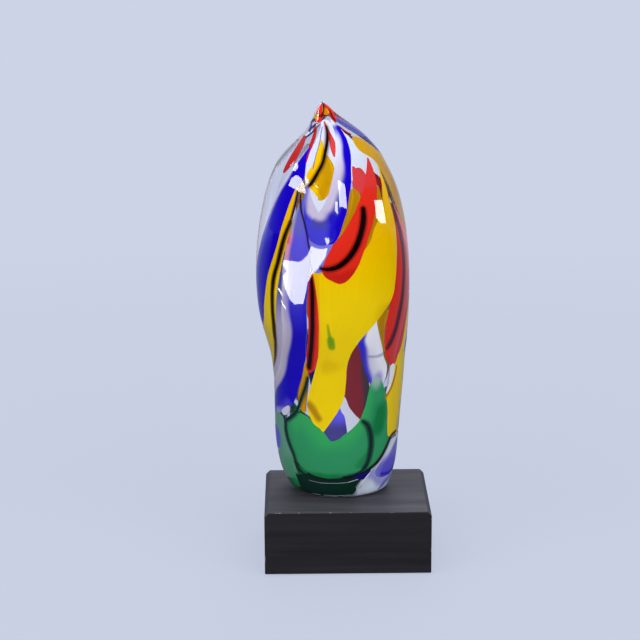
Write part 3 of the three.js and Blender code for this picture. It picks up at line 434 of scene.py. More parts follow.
# Wide thin tints in the clear glass under the trails, the uppermost first.
GROUNDS = [
    rows("ground_drop", "amber_yellow", plain("dull_yellow"), [
        (88.1, -10, -6), (86.2, -6, 1), (84.5, -4, 3), (82.6, -6, 2), (81, -8, -0.5), (79.1, -12, -3.5),
        (77.6, -14, -8),
    ]),
    rows("ground_pouch", "white", plain("pale_white", "mist"), [
        (96, -26, 6), (92.7, -31, 9), (89.7, -32, 9), (86, -30, 6), (82.6, -27, 3), (79.3, -23, -2),
        (76.8, -18, -6), (74.8, -14, -9),
    ]),
    rows("ground_pouch_edge", "blue", plain("deep_blue"), [
        (94.8, 14, 22.5), (92, 16, 24), (88.5, 16, 23), (85.4, 14, 20.5), (83, 12, 19), (81, 10, 17),
        (78.7, 8, 14.5), (76.4, 6, 12.5), (74.7, 4, 11), (72.8, 2, 8.5), (70.5, 0, 6), (69, -2, 4),
        (67.2, -6, 0),
    ]),
    rows("ground_amber", "amber", plain("amber"), [
        (80.3, 14, 20), (78.7, 12, 20), (76.4, 11, 18), (74.7, 9, 15), (72.4, 6, 12), (70.3, 4, 9),
        (68.6, 3, 6),
    ]),
    rows("ground_rose", "rose", plain("rose"), [(85.2, 24, 32), (83, 22, 36), (81, 22, 33), (79, 20, 28)]),
    rows("ground_edge_red", "red", Look(
        [(0, "brick"), (0.5, "brick"), (0.8, "rose"), (1, "rose")], wander=0.05,
    ), [
        (52, 66, 84), (47.7, 62, 77), (44.6, 58, 72.5), (41.6, 54, 69.5), (39.1, 52, 66), (36.4, 50, 61.5),
        (34.9, 52, 57),
    ]),
    rows("ground_edge_yellow", "yellow", plain("low_yellow", "straw"), [
        (52, 80, 98), (49, 74, 98), (46, 68, 96), (43.5, 66, 84), (41, 64, 76), (38.7, 60, 76),
        (36, 60, 74),
    ]),
    rows("ground_neck", "violet", plain("soft_violet"), [
        (70, -20, -6), (67.5, -19, -1), (65, -18, -2), (62, -17, -4), (60, -16, -8),
    ]),
    rows("ground_right", "white", plain("pale_white"), [
        (93.9, 18, 24), (91, 15, 36), (88.1, 15, 46), (86, 15, 58), (83.9, 16, 58), (81.8, 17, 52),
    ]),
    rows("ground_gap", "amber", plain("amber", "dull_yellow"), [
        (80.5, 44, 50), (77.4, 36, 48), (74.5, 30, 46), (71, 24, 38), (67.5, 20, 30), (65, 14, 24),
    ]),
    rows("ground_centre", "yellow", plain("yellow"), [
        (63.5, -10, 10), (61, -15, -4), (57, -16, -8), (51, -15, -8), (46, -16, -8), (41, -18, -10),
        (38.5, -18, -12),
    ]),
    rows("ground_left", "violet", Look(
        [(0, "ink_violet"), (0.5, "slate_violet"), (1, "slate_violet")],
        [(0, "straw"), (0.5, "lavender"), (1, "lavender")],
    ), [
        (65, -43, -37), (58, -50, -40), (52, -53, -41), (46, -58, -43), (42.5, -64, -46), (38, -74, -52),
        (34, -90, -62), (30, -102, -76),
    ]),
    path("ground_smoke", "white", plain("smoke", "mist"), [
        (-76, 90.6, 5), (-75.5, 88.5, 11), (-75.5, 87, 12), (-75.5, 85.6, 9), (-76, 84.4, 3),
    ]),
    rows("ground_peak_left", "white", plain("tip_grey", "mist"), [
        (97.7, -94, -40), (95.2, -98, -45), (92.7, -100, -55), (91, -102, -70),
    ]),
    rows("ground_peak_right", "violet", Look(
        [(0, "lavender"), (0.2, "tip_grey"), (0.4, "dusk_violet"), (1, "dusk_violet")],
    ), [
        (96.9, 24, 50), (95.6, 34, 68), (94.1, 46, 84), (92.7, 62, 96), (91.4, 80, 102),
    ]),
    # The red seen through the window, with painted shade on its dark side.
    rows("ground_lens", "red", Look(
        [(0, "lens_red"), (0.6, "lens_red"), (0.8, "lens_painted_shade"), (1, "lens_painted_shade")], wander=0.04,
    ), [
        (41.6, 14, 17.5), (40.4, 12, 20), (38.9, 9.5, 21.5), (35.4, 6.5, 24), (30.1, 4.5, 27),
        (25.9, 7, 27.5), (23.4, 13, 26.5), (22, 18, 24.5), (21.4, 20, 22.5),
    ]),
    rows("ground_wedge", "white", plain("mist"), [
        (27.8, 2, 5), (26, 0.5, 8), (24.1, 1.5, 12), (22.8, 4.5, 17), (20.7, 6, 24), (18.6, 7.5, 22),
        (16.5, 8.5, 14),
    ]),
    rows("ground_blue", "blue", Look(
        [(0, "violet"), (1, "violet")], [(0, "ink_violet"), (1, "ink_violet")],
    ), [
        (25, -2, 1.5), (22.8, -8, 6), (20.5, -14, 8), (18.6, -18, 9.5), (17, -16, 10), (15, -10, 9),
    ]),
    rows("ground_arm", "green", plain("green"), [
        (27, 40, 46), (22, 42, 53), (18, 42, 59), (14.8, 38, 57), (11.5, 32, 48), (8.6, 24, 38),
        (7.4, 14, 28),
    ]),
    rows("ground_foot", "dark_green", Look(
        [(0, "mist"), (0.06, "foot_leaf"), (0.235, "foot_leaf"), (0.262, "foot_green"),
         (0.55, "foot_green"), (0.61, "foot_white"), (1, "foot_white")],
        wander=0.02,
    ), [
        (9.5, -70, 20), (7.3, -70, 80), (5.6, -98, 100), (3.1, -104, 106), (1, -106, 108), (0.2, -106, 108),
    ]),
]

# Looks whose colours run with the distance from a line instead of across the trail: how far in mm
# the last colour lies, and the line as (angle, height %) points.
POUCH_EDGE = [
    (8, 95.6), (5, 93.5), (3.8, 91), (3.6, 88.5), (2, 85), (-0.8, 82), (-3.8, 79.5), (-7, 77.2),
    (-10.8, 75.4), (-15, 76.4), (-18.4, 78.5), (-20.8, 80.4), (-22.6, 82.2),
]
FROM_LINE = {"blue_pouch_trail": (16, POUCH_EDGE), "blue_pouch_arm": (16, POUCH_EDGE)}

# A wash of another colour over a trail: its colour, the half width at full strength and the width
# of its soft border in mm, its strength, and its line as (angle, height %) points.
Wash = namedtuple("Wash", "tint reach fade share line")

WASHES = {
    "green_wave_trail": [
        Wash("dark_green", 2, 6, 0.9, [(39, 23.2), (41, 19)]),
        Wash("mist", 1, 6, 0.5, [(33, 32.8), (35, 31.6)]),
        Wash("bright_green", 1, 6, 0.7, [(-44, 19.9), (-35, 21.5), (-24, 19.9)]),
        Wash("dark_green", 0.5, 2.5, 0.8, [(-28, 6.9), (-15, 6.5), (0, 6.1), (12, 6.5)]),
        Wash("dark_green", 0.3, 3, 0.6, [(20, 9), (30, 12.3), (33, 17.4)]),
    ],
    "blue_pouch_trail": [
        Wash("deep_blue", 1.6, 3, 1, [
            (19, 93.9), (20.2, 90.2), (19, 86), (16.4, 82.6), (12.5, 78.5), (8.5, 74.3), (6, 70.9),
        ]),
        Wash("deep_blue", 1, 5, 0.85, [(-1, 74), (3, 72), (0, 69.2)]),
    ],
    "blue_pouch_arm": [Wash("deep_blue", 0.5, 3, 0.7, [(-25, 80.1), (-26, 77.2), (-24, 73.4)])],
    "blue_white_trail": [
        Wash("slate_violet", 0.4, 1, 0.8, [(-42.5, 59), (-44, 52.1), (-45.5, 45.8)]),
        Wash("deep_red", 0.4, 1.6, 0.75, [(-35.5, 71.8), (-36.5, 67.2)]),
        Wash("pink", 0.5, 3, 0.5, [(-36, 69.2), (-38, 63.8)]),
        Wash("violet", 1, 4, 0.8, [(-24, 75.9), (-22, 68.8), (-21, 64.2)]),
        Wash("dusk_violet", 2, 7, 0.6, [(-28, 77.5), (-27, 72)]),
        Wash("mist", 1, 3, 0.5, [(-72, 21.6), (-60, 22.6)]),
        Wash("violet", 1, 5, 0.5, [(-62, 23), (-52, 24.5)]),
    ],
    "yellow_ribbon_left": [
        Wash("olive_black", 0.2, 2.5, 0.6, [(-30.5, 80.1), (-31, 75.9)]),
        Wash("olive_black", 0.8, 1.4, 0.8, [
            (-36, 72), (-45, 62.6), (-49.5, 58.4), (-52, 54.2), (-53, 50), (-54, 45.8), (-58, 42),
        ]),
    ],
    "yellow_main_trail": [
        Wash("leaf", 0.3, 1.2, 0.8, [(-5.6, 46.9), (-5.2, 44.6), (-4.6, 42)]),
        Wash("leaf", 1, 1.7, 0.9, [(-4.4, 43), (-4.4, 41.2)]),
        Wash("dull_yellow", 1, 6, 0.3, [(-9, 36.2), (-5, 35.8)]),
        Wash("amber", 0.5, 3, 0.9, [(-28, 25.6), (-23.5, 24), (-18, 22)]),
        Wash("dull_yellow", 1, 8, 0.4, [(44, 50), (40, 45.8)]),
    ],
    "white_blue_trail": [
        Wash("slate_violet", 0.3, 0.9, 0.6, [(26, 38.1), (33, 37.9), (40, 38.3)]),
        Wash("soft_violet", 1, 5, 0.8, [(37, 32), (40, 29.1)]),
        Wash("deep_blue", 0.8, 3, 0.6, [(19, 41.6), (23, 36.6), (26, 32.4)]),
    ],
    "yellow_low_trail": [
        Wash("slate_violet", 0.5, 4, 0.35, [(76, 17.4), (80, 22.8)]),
    ],
    "green_side_trail": [
        Wash("foot_leaf", 3.5, 1.2, 1, [(-95, 1.6), (-71.5, 2.1), (-50, 3.1)]),
        Wash("green", 1, 6, 0.6, [(-55, 9), (-50, 4.8)]),
        Wash("foot_green", 0.8, 0.6, 1, [(-46.5, 5.8), (-46, 4), (-46, 2), (-45.5, 0.5)]),
    ],
    "ground_foot": [Wash("foot_green", 2.4, 1, 1, [(14, 3.8), (20, 5.6), (27, 7.6)])],
    "violet_patch_left": [Wash("mist", 0.5, 2, 0.8, [(-85, 10.6), (-73, 10.4)])],
    "violet_foot_trail": [
        Wash("deep_blue", 0.5, 1.6, 0.8, [(50, 5.6), (64, 5.2), (78, 6.1)]),
    ],
    "white_foot_trail": [
        Wash("soft_violet", 1, 5, 0.7, [(32, 7.3), (50, 3.6), (70, 3.1)]),
        Wash("foot_leaf", 0.3, 1.5, 0.4, [(24, 6.5), (22, 3.1)]),
        Wash("deep_blue", 0.3, 1.2, 0.7, [(32, 0.4), (47.5, 0.4), (56, 2.3), (68.5, 4.2)]),
    ],
    "red_sickle_trail": [
        Wash("deep_red", 1, 5, 0.6, [(-4, 58.8), (6, 58.4), (16, 60)]),
        Wash("rose", 1, 6, 0.5, [(44, 86), (38, 81.8), (28, 81.8)]),
    ],
    "yellow_drop": [
        Wash("yellow", 1, 4, 0.8, [(-20, 90.2), (-17, 86.8)]),
        Wash("amber", 1, 4, 0.5, [(-12, 78.5), (-6, 81)]),
        Wash("amber", 2, 4, 0.4, [(-4, 86), (-2, 83)]),
    ],
}

# Crossing waves in which soft borders wander: radians per degree and per %, and where each starts.
WAVES = [(0.11, 0.35, 0.0), (0.23, -0.19, 1.7), (-0.07, 0.52, 3.9)]

# How far a wash's border wanders, as a share of its softness, and how much closer its waves lie.
WASH_WANDER = 0.35
WASH_WAVES = 1.7

# How much of each colour, red, green and blue, the halo beside a thread takes away.
HALO_DARKENS = np.array([0.85, 0.95, 0.9])

# The part of a trail's length over which its start colours change to its end colours.
LOOK_CHANGES = (0.2, 0.6)

# The colours of the glass, the block and the room, as a screen shows them from 0 to 255, and where
# each is.
COLOURS = {
    "deep_blue": (22, 0, 190, "Trails"),
    "blue": (66, 62, 204, "Thin blue trails"),
    "violet": (92, 84, 216, "Peak and foot"),
    "soft_violet": (122, 120, 212, "Thin violet in clear glass"),
    "slate_violet": (72, 70, 160, "Violet over dark glass"),
    "dusk_violet": (102, 102, 166, "Grey violet"),
    "ink_violet": (56, 48, 124, "Deep violet"),
    "navy": (14, 8, 104, "Blue over the dark foot"),
    "smoke": (118, 122, 140, "Thick clear glass seen on edge"),
    "lavender": (192, 182, 208, "Pale margins of the blue"),
    "mist": (210, 213, 232, "Where a trail thins out into clear glass"),
    "tip_grey": (176, 170, 190, "Thin lavender in the drawn-out tip"),
    "pale_white": (204, 211, 228, "Thin opal white"),
    "white": (238, 238, 248, "Opal white"),
    "grey_white": (206, 204, 222, "Thin opal white"),
    "red": (224, 44, 28, "Trails"),
    "deep_red": (176, 22, 20, "Thick red"),
    "brick": (200, 38, 34, "Red over dark glass"),
    "rose": (206, 62, 66, "Thin red"),
    "light_rose": (212, 84, 94, "Thinner red"),
    "pink": (246, 114, 128, "Red thinning out"),
    "back_maroon": (200, 36, 56, "Inside of the back red"),
    "lens_red": (126, 42, 52, "Red seen through the window"),
    # Painted shade on the dark side of that red.
    "lens_painted_shade": (66, 54, 66, "The dark side of that red"),
    "maroon": (120, 14, 24, "Dark red"),
    "yellow": (240, 186, 0, "Trails"),
    "low_yellow": (246, 210, 0, "The lower yellow"),
    "dull_yellow": (200, 150, 0, "Shoulder"),
    "amber": (176, 124, 6, "Thin strips"),
    "orange": (200, 120, 10, "Smears in the yellow"),
    "straw": (200, 180, 70, "Yellow thinning out"),
    "leaf": (108, 156, 16, "Green over yellow"),
    "green": (46, 150, 96, "The wave"),
    "bright_green": (52, 168, 92, "Thin green"),
    "dark_green": (0, 118, 58, "Thick green"),
    "foot_green": (0, 44, 32, "Foot"),
    "foot_leaf": (8, 112, 58, "Left of the foot"),
    "foot_white": (222, 236, 252, "Right of the foot"),
    "sea_green": (96, 158, 132, "Left side"),
    "black": (14, 2, 6, "Threads"),
    "wine_black": (52, 4, 10, "Threads on red"),
    "olive_black": (60, 50, 4, "Threads on yellow"),
    "teal_black": (8, 38, 40, "Threads on green"),
    "teal": (28, 84, 72, "Thin threads on green"),
    "plum_black": (62, 34, 54, "The soft thread"),
    "plum": (120, 50, 72, "Borders of the soft thread"),
    "clear": (246, 247, 255, "Body"),
    "paint": (25, 23, 29, "Black paint on the block"),
    # Painted light: the upper face's paint, lighter for the light from above.
    "lit_top_paint": (66, 64, 71, "The rubbed upper face"),
    "chip": (120, 116, 124, "Bare edges of the block"),
    "floor": (204, 211, 231, "Lavender paper"),
}
FELT_COLOURS = ((14, 14, 16), (34, 34, 38))
ADHESIVE_COLOUR = (235, 236, 232)
WINDOW_LIGHT = (0.93, 0.95, 1.0)

# The stage. Lamps that light the surfaces: name, direction (deg right of the front, deg up),
# distance, width and height in m, and brightness.
LAMPS = [
    ("Key left", -48, 34, 1.5, 1.1, 1.1, 2.9),
    ("Fill right", 42, 30, 1.6, 1.2, 1.1, 2.6),
    ("Top", 10, 78, 1.3, 1.2, 1.2, 1.8),
    ("Front low", 0, 8, 1.9, 1.6, 0.7, 2.8),
    ("Behind", 175, 35, 1.7, 1.6, 1.1, 2.0),
]

# The point in m that the lamps and panels face.
LIT_POINT = np.array([0, 0, 0.19])

# Bright panels that show only as highlights in the glass: name, distance in m, brightness, and the
# corners of each as directions (deg right of the front, deg up).
WINDOWS = [
    ("Window left", 1.5, 18, [
        (-76.4, 18.5), (-76, 20), (-74, 24.6), (-67, 28.2), (-58, 28.8), (-48, 28.2), (-38, 26),
        (-32, 22.6), (-32, 20.5), (-48, 18.7), (-55, 19.2), (-65, 18.9),
    ]),
    ("Window left high", 1.5, 18, [
        (-87.5, 36.5), (-86.3, 41), (-79.4, 39.7), (-70.3, 37), (-72.6, 30.8), (-79, 29.7),
    ]),
    ("Window left small", 1.5, 18, [
        (-36, 30), (-30.4, 31.7), (-25.3, 30.6), (-24, 28.4), (-31.6, 27.7),
    ]),
    ("Window right", 1.5, 18, [(-8.7, 31.6), (2.7, 30.2), (13.7, 28.3), (17.8, 12), (4.8, 14.8)]),
    ("Window right small", 1.5, 18, [(-4.3, 19.5), (0, 18.4), (4.2, 11), (-0.8, 13.7)]),
    ("Window far right", 1.5, 18, [(65.8, 13), (82.5, 11), (81, 2.6), (71.3, 3.7), (63.8, 6)]),
    ("Window low", 1.5, 18, [(-10, 2), (-4.6, 1.8), (-4.4, 0), (-7.2, -0.9), (-9.7, 0.5)]),
    ("Sheet low left", 0.45, 18, [
        (-66, -12.8), (-66, -11.5), (-60, -11.8), (-50, -10.5), (-42, -8.5), (-33, -5), (-28, -1),
        (-18, -2), (-7, -1.3), (-10, -5), (-20, -9.2), (-30, -11.3), (-38, -13.5), (-43.5, -19),
        (-50, -18), (-55, -17.5), (-60, -15.5), (-62, -14),
    ]),
    ("Strip low left", 0.45, 24, [
        (-72.6, -14.7), (-69.4, -14.5), (-66.4, -14.7), (-66.6, -15.3), (-69, -15.2),
    ]),
    ("Strip lower left", 0.45, 24, [
        (-70.4, -17), (-68.4, -17.2), (-65.5, -18.6), (-65.9, -19.3), (-68.8, -18.3),
    ]),
    ("Window behind", 1.5, 12, [(140, 44), (140, 60), (180, 60), (180, 44)]),
]

# The camera: its place in m, its pitch, yaw and roll in degrees, its focal length in pixels of a
# picture that is so many pixels wide, the width in mm of its sensor, and how far in m it sees.
CAMERA_PLACE = (-0.02857, -1.14376, 0.44066)
CAMERA_TURN = (14.342, 0.644, -0.290)
FOCAL_PIXELS = 1962.3
PICTURE_PIXELS = 640
SENSOR_MM = 36
CAMERA_REACH = 50

# The paper floor's rings, by radius in mm from the rim inwards, and how many sides they have.
PAPER_RINGS = (9000, 5000, 2500, 1200, 600, 250, 0)
PAPER_SIDES = 128

# The part of the paper's colour that is lit by the lamps at the sculpture and fades to 0 at 1 m,
# and how much less the paper glows for each part that is lit.
PAPER_LIT = 0.2
PAPER_DIMS = 1.4

# The strength of the room: as light, through clear glass and to the eye, and in reflections in
# front and behind, with how far forward or back (-1 to 1) that change starts and ends.
ROOM_LIGHT = 0.35
ROOM_THROUGH_GLASS = 0.95
ROOM_TO_THE_EYE = 1.0
ROOM_REFLECTED = (0.06, 0.8)
ROOM_BRIGHTENS = (-0.35, 0.75)

# Colours and sizes


def linear(red, green, blue):
    """A screen colour, 0 to 255 a channel, as the linear colour that a shader takes: a straight
    line for the darkest values and a power of 2.4 for the rest."""
    values = [c / 255 for c in (red, green, blue)]
    return tuple(c / 12.92 if c <= 0.04045 else ((c + 0.055) / 1.055) ** 2.4 for c in values)


def size_mm(name, description, default):
    """A length in millimetres that the panel shows."""
    return FloatProperty(name=name, description=description, default=default, min=0)


class GlassSizes(bpy.types.PropertyGroup):
    """Sizes of the blown form, in millimetres."""

    height: size_mm("Height", "Height of the glass above its foot, mm", 239)
    half_width: size_mm("Half width", "Largest half width, mm", 46.3)
    depth_share: FloatProperty(
        name="Depth share", description="Front-to-back half width as a share", default=0.82
    )
    foot_height: size_mm("Foot height", "Height of the glass's foot, mm", 40.5)
    foot_set_back: size_mm("Foot set back", "How far back the foot's centre lies, mm", 8)
    tip_set_back: size_mm("Tip set back", "How far back the tip lies, mm", 5)
    wall: size_mm("Wall", "Thickness of the clear wall, mm", 7)
    floor: size_mm("Floor", "Thickness of the glass under the bubble, mm", 9)
    vent: size_mm("Vent", "Radius of the vent in the foot, mm", 1.75)
    wall_top: FloatProperty(
        name="Wall top", description="Height where the bubble's wall turns into its dome, %", default=82
    )
    bubble_top: FloatProperty(
        name="Bubble top", description="Height of the bubble's drawn-out top, %", default=96
    )
    skin_depth: size_mm("Skin depth", "How far the clear skin lies under the form, mm", 0.3)


class TrailSizes(bpy.types.PropertyGroup):
    """Sizes of the coloured trails, in millimetres."""

    thickness: size_mm("Thickness", "Depth of a trail's underside, mm", 1.45)
    thread_thickness: size_mm("Thread", "Depth of a thread's underside, mm", 0.55)
    edge: size_mm("Edge", "Radius of the rounded edges, mm", 0.3)
    step: size_mm("Step", "Length of a trail's facets, mm", 1.0)
    top: size_mm("Top", "Depth of the uppermost trails under the form, mm", 0.02)
    level: size_mm("Level", "How much lower each later trail lies, mm", 0.03)
    cover: size_mm("Cover", "How far inside an upper trail a lower one dips away, mm", 0.8)
    dive: size_mm("Dive", "How far a lower trail dips under an upper one, mm", 1.0)
    cut: size_mm("Cut", "How far inside an upper trail a lower one ends, mm", 2.8)
    halo: size_mm("Halo", "Width of the darker glass beside a thread, mm", 1.6)
    full_thread: size_mm("Full thread", "Half width of a thread with the whole halo, mm", 1.2)
    halo_share: FloatProperty(
        name="Halo strength", description="Strength of the darker glass beside a thread", default=0.8
    )


class BlockSizes(bpy.types.PropertyGroup):
    """Sizes of the wooden block, in millimetres."""

    chamfer: size_mm("Chamfer", "Planed width of the upper side edges, mm", 2.5)
    edge: size_mm("Edge", "Radius of the eased edges, mm", 0.5)


class GlassColours(bpy.types.PropertyGroup):
    """Colours of the glass, the block and the room."""

    __annotations__ = {
        key: FloatVectorProperty(
            name=key.replace("_", " ").capitalize(), description=use, default=linear(*tint),
            size=3, min=0, max=1, subtype="COLOR",
        )
        for key, (*tint, use) in COLOURS.items()
    }


def glass_colour(name):
    """The linear colour of that name, as the panel has it."""
    return tuple(getattr(bpy.context.scene.glass_colours, name))


# The form

# The least radius in mm, and the steps in degrees and % over which slopes are taken.
LEAST_RADIUS = 0.1
NORMAL_STEP = 0.05
SCALE_STEP = 0.1


def outline_at(height, column):
    """A smooth curve through the outline: between two of its rows, the cubic that meets both with
    the slope of the chord over each row's neighbours."""
    levels = OUTLINE[:, 0]
    values = OUTLINE[:, column]
    slopes = np.empty(len(levels))
    slopes[1:-1] = (values[2:] - values[:-2]) / (levels[2:] - levels[:-2])
    slopes[0] = (values[1] - values[0]) / (levels[1] - levels[0])
    slopes[-1] = (values[-1] - values[-2]) / (levels[-1] - levels[-2])
    h = np.clip(height, 0, 100)
    i = np.clip(np.searchsorted(levels, h, side="right") - 1, 0, len(levels) - 2)
    span = levels[i + 1] - levels[i]
    t = (h - levels[i]) / span
    return cubic(t, values[i], values[i + 1], span * slopes[i], span * slopes[i + 1])


def cubic(t, start, end, start_slope, end_slope):
    """The cubic from start to end as t goes from 0 to 1, with the given slopes at its ends."""
    first = (2 * t**3 - 3 * t**2 + 1) * start + (t**3 - 2 * t**2 + t) * start_slope
    last = (3 * t**2 - 2 * t**3) * end + (t**3 - t**2) * end_slope
    return first + last


def skin(angle, height):
    """The outer surface, in mm: at each height an ellipse about a leaning centre, whose radius is
    the outline's half width less a bell-shaped hollow for each pressing."""
    glass = bpy.context.scene.glass_sizes
    angle = np.asarray(angle, float)
    height = np.asarray(height, float)
    radius = glass.half_width * outline_at(height, 2) / 100
    for at, level, spread, reach, depth in PRESSINGS:
        bell = np.exp(-((turn_from(angle, at) / spread) ** 2) - ((height - level) / reach) ** 2)
        radius = radius - glass.half_width * depth / 100 * bell
    radius = np.maximum(radius, LEAST_RADIUS)
    set_back = glass.foot_set_back + (glass.tip_set_back - glass.foot_set_back) * height / 100
    a = np.radians(angle)
    x = glass.half_width * outline_at(height, 1) / 100 + radius * np.sin(a)
    y = set_back - glass.depth_share * radius * np.cos(a)
    z = glass.foot_height + glass.height * height / 100 + 0 * a
    return np.stack([x, y, z], -1)


def turn_from(angle, middle):
    """The turn from one angle to another, from -180 to 180 degrees."""
    return (angle - middle + 180) % 360 - 180


def outward(angle, height):
    """The unit normal: the cross product of small steps around and up the surface."""
    e = NORMAL_STEP
    around = skin(angle + e, height) - skin(angle - e, height)
    up = skin(angle, np.minimum(height + e, 100)) - skin(angle, np.maximum(height - e, 0))
    n = np.cross(around, up)
    return n / np.linalg.norm(n, axis=-1, keepdims=True)


def layer(angle, height, depth):
    """A point at a depth, in mm, under the outer surface, along the normal where it points up and
    level where it would point down, so that every layer ends square on the foot."""
    n = outward(angle, height)
    n[..., 2] = np.maximum(n[..., 2], 0)
    n /= np.linalg.norm(n, axis=-1, keepdims=True)
    return skin(angle, height) - np.asarray(depth)[..., None] * n


def scale_at(angle, height):
    """Millimetres per degree around the form and per % of its height."""
    e = SCALE_STEP
    around = np.linalg.norm(skin(angle + e, height) - skin(angle - e, height), axis=-1) / (2 * e)
    low = np.maximum(height - e, 0)
    high = np.minimum(height + e, 100)
    up = np.linalg.norm(skin(angle, high) - skin(angle, low), axis=-1) / (high - low)
    return around, up


def circle(sides):
    """Angles in degrees around the form from the front, and the level unit direction at each, from
    its sine and cosine."""
    around = np.linspace(0, 360, sides + 1)[:-1]
    a = np.radians(around)
    return around, np.stack([np.sin(a), -np.cos(a), 0 * a], -1)


# Meshes

# Points that agree to so many decimals of a mm are one.
SAME_PLACE_DECIMALS = 5


def mesh_from_grid(name, points, normals=None, uv=None, tints=None, buried=None):
    """A closed skin over a grid of points in mm: each row is a loop, rows are joined in order, and
    rows that shrink to a point or a line are sealed there by merging equal points. Points, normals,
    uv and tints are arrays of rows by columns by 3, 3, 2 and 3. Faces whose corners are all buried
    are left out."""
    count, columns = points.shape[:2]
    flat = points.reshape(-1, 3)
    _, first, same = np.unique(
        np.round(flat, SAME_PLACE_DECIMALS), axis=0, return_index=True, return_inverse=True
    )
    index = np.arange(count * columns).reshape(count, columns)
    a = index[:-1]
    b = np.roll(index, -1, axis=1)[:-1]
    c = np.roll(index, -1, axis=1)[1:]
    d = index[1:]
    corners = np.concatenate([
        np.stack([a, b, c], -1).reshape(-1, 3), np.stack([a, c, d], -1).reshape(-1, 3)
    ])
    merged = np.asarray(same).reshape(-1)[corners]
    real = (merged != np.roll(merged, -1, axis=1)).all(axis=1)
    corners = corners[real]
    merged = merged[real]
    place = flat[first]
    across = np.cross(place[merged[:, 1]], place[merged[:, 2]])
    if np.einsum("ij,ij->i", place[merged[:, 0]], across).sum() < 0:
        corners = corners[:, ::-1]
        merged = merged[:, ::-1]
    if buried is not None:
        seen = ~buried.ravel()[corners].all(axis=1)
        corners = corners[seen]
        merged = merged[seen]
    mesh = bpy.data.meshes.new(name)
    mesh.vertices.add(len(place))
    mesh.vertices.foreach_set("co", (place * MM).ravel())
    mesh.loops.add(merged.size)
    mesh.loops.foreach_set("vertex_index", merged.ravel())
    mesh.polygons.add(len(merged))
    mesh.polygons.foreach_set("loop_start", np.arange(0, merged.size, 3))
    mesh.polygons.foreach_set("use_smooth", np.full(len(merged), True))
    mesh.update(calc_edges=True)
    if uv is not None:
        unwrapped = mesh.uv_layers.new(name="UVMap")
        unwrapped.data.foreach_set("uv", uv.reshape(-1, 2)[corners.ravel()].ravel())
    if tints is not None:
        opaque = np.ones((len(place), 1))
        painted = mesh.color_attributes.new(name="Glass", type="FLOAT_COLOR", domain="POINT")
        painted.data.foreach_set("color", np.hstack([tints.reshape(-1, 3)[first], opaque]).ravel())
    if normals is not None:
        mesh.normals_split_custom_set_from_vertices(normals.reshape(-1, 3)[first])
    mesh.validate()
    return mesh


def shown(name, data):
    """A new object in the scene."""
    made = bpy.data.objects.new(name, data)
    bpy.context.scene.collection.objects.link(made)
    return made


def add_piece(name, mesh, replaced, material):
    """The mesh as a piece of the sculpture that stands for CAD nodes."""
    mesh.materials.append(material)
    piece = shown(name, mesh)
    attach(piece, "root")
    if replaced:
        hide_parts(*replaced)
    return piece


# Trails

# Lengths in mm, apart from the first four.
CURVE_SAMPLES = 801
LEAST_FACETS = 4
LEAST_COLUMNS = 5
EDGE_COLUMNS = 4
LEAST_HALF_WIDTH = 0.3
LARGEST_END_RADIUS = 3.5
DIVE_LENGTH = 1.4
CROWDED_WIDTH = 3.0

# How far the columns crowd at most towards the edges, the least number of edge radii in a trail's
# thickness, and the share of the top's roundness that the underside has.
MOST_CROWDED = 0.8
EDGES_IN_THICKNESS = 2.2
UNDER_ROUNDNESS = 0.8

# The angles of the facets in a rounded end.
END_FACETS = np.radians([0, 6, 14, 26, 40, 56, 74])

# What stands for a depth far outside an outline, and how far in degrees and % far begins.
FAR_OUTSIDE = -9.0
NEAR_MARGIN = np.array([12.0, 5.0])

# The least length that anything is divided by.
LEAST_STEP = 1e-9


def smooth_curve(points, t):
    """The curve through the points whose slope at each is half the step between its neighbours,
    read at t from 0 to 1."""
    points = np.asarray(points, float)
    before = 2 * points[0] - points[1]
    after = 2 * points[-1] - points[-2]
    p = np.vstack([before, points, after])
    at = np.clip(t, 0, 1) * (len(points) - 1)
    i = np.minimum(at.astype(int), len(points) - 2)
    a, b, c, d = p[i], p[i + 1], p[i + 2], p[i + 3]
    return cubic((at - i)[:, None], b, c, 0.5 * (c - a), 0.5 * (d - b))


def fall_away(gap, radius):
    """How far a rounded edge has fallen away at a gap from it: a quarter circle, which is the whole
    radius at the edge and 0 at a radius from it."""
    return radius * (1 - np.sqrt(1 - np.clip(1 - gap / radius, 0, 1) ** 2))


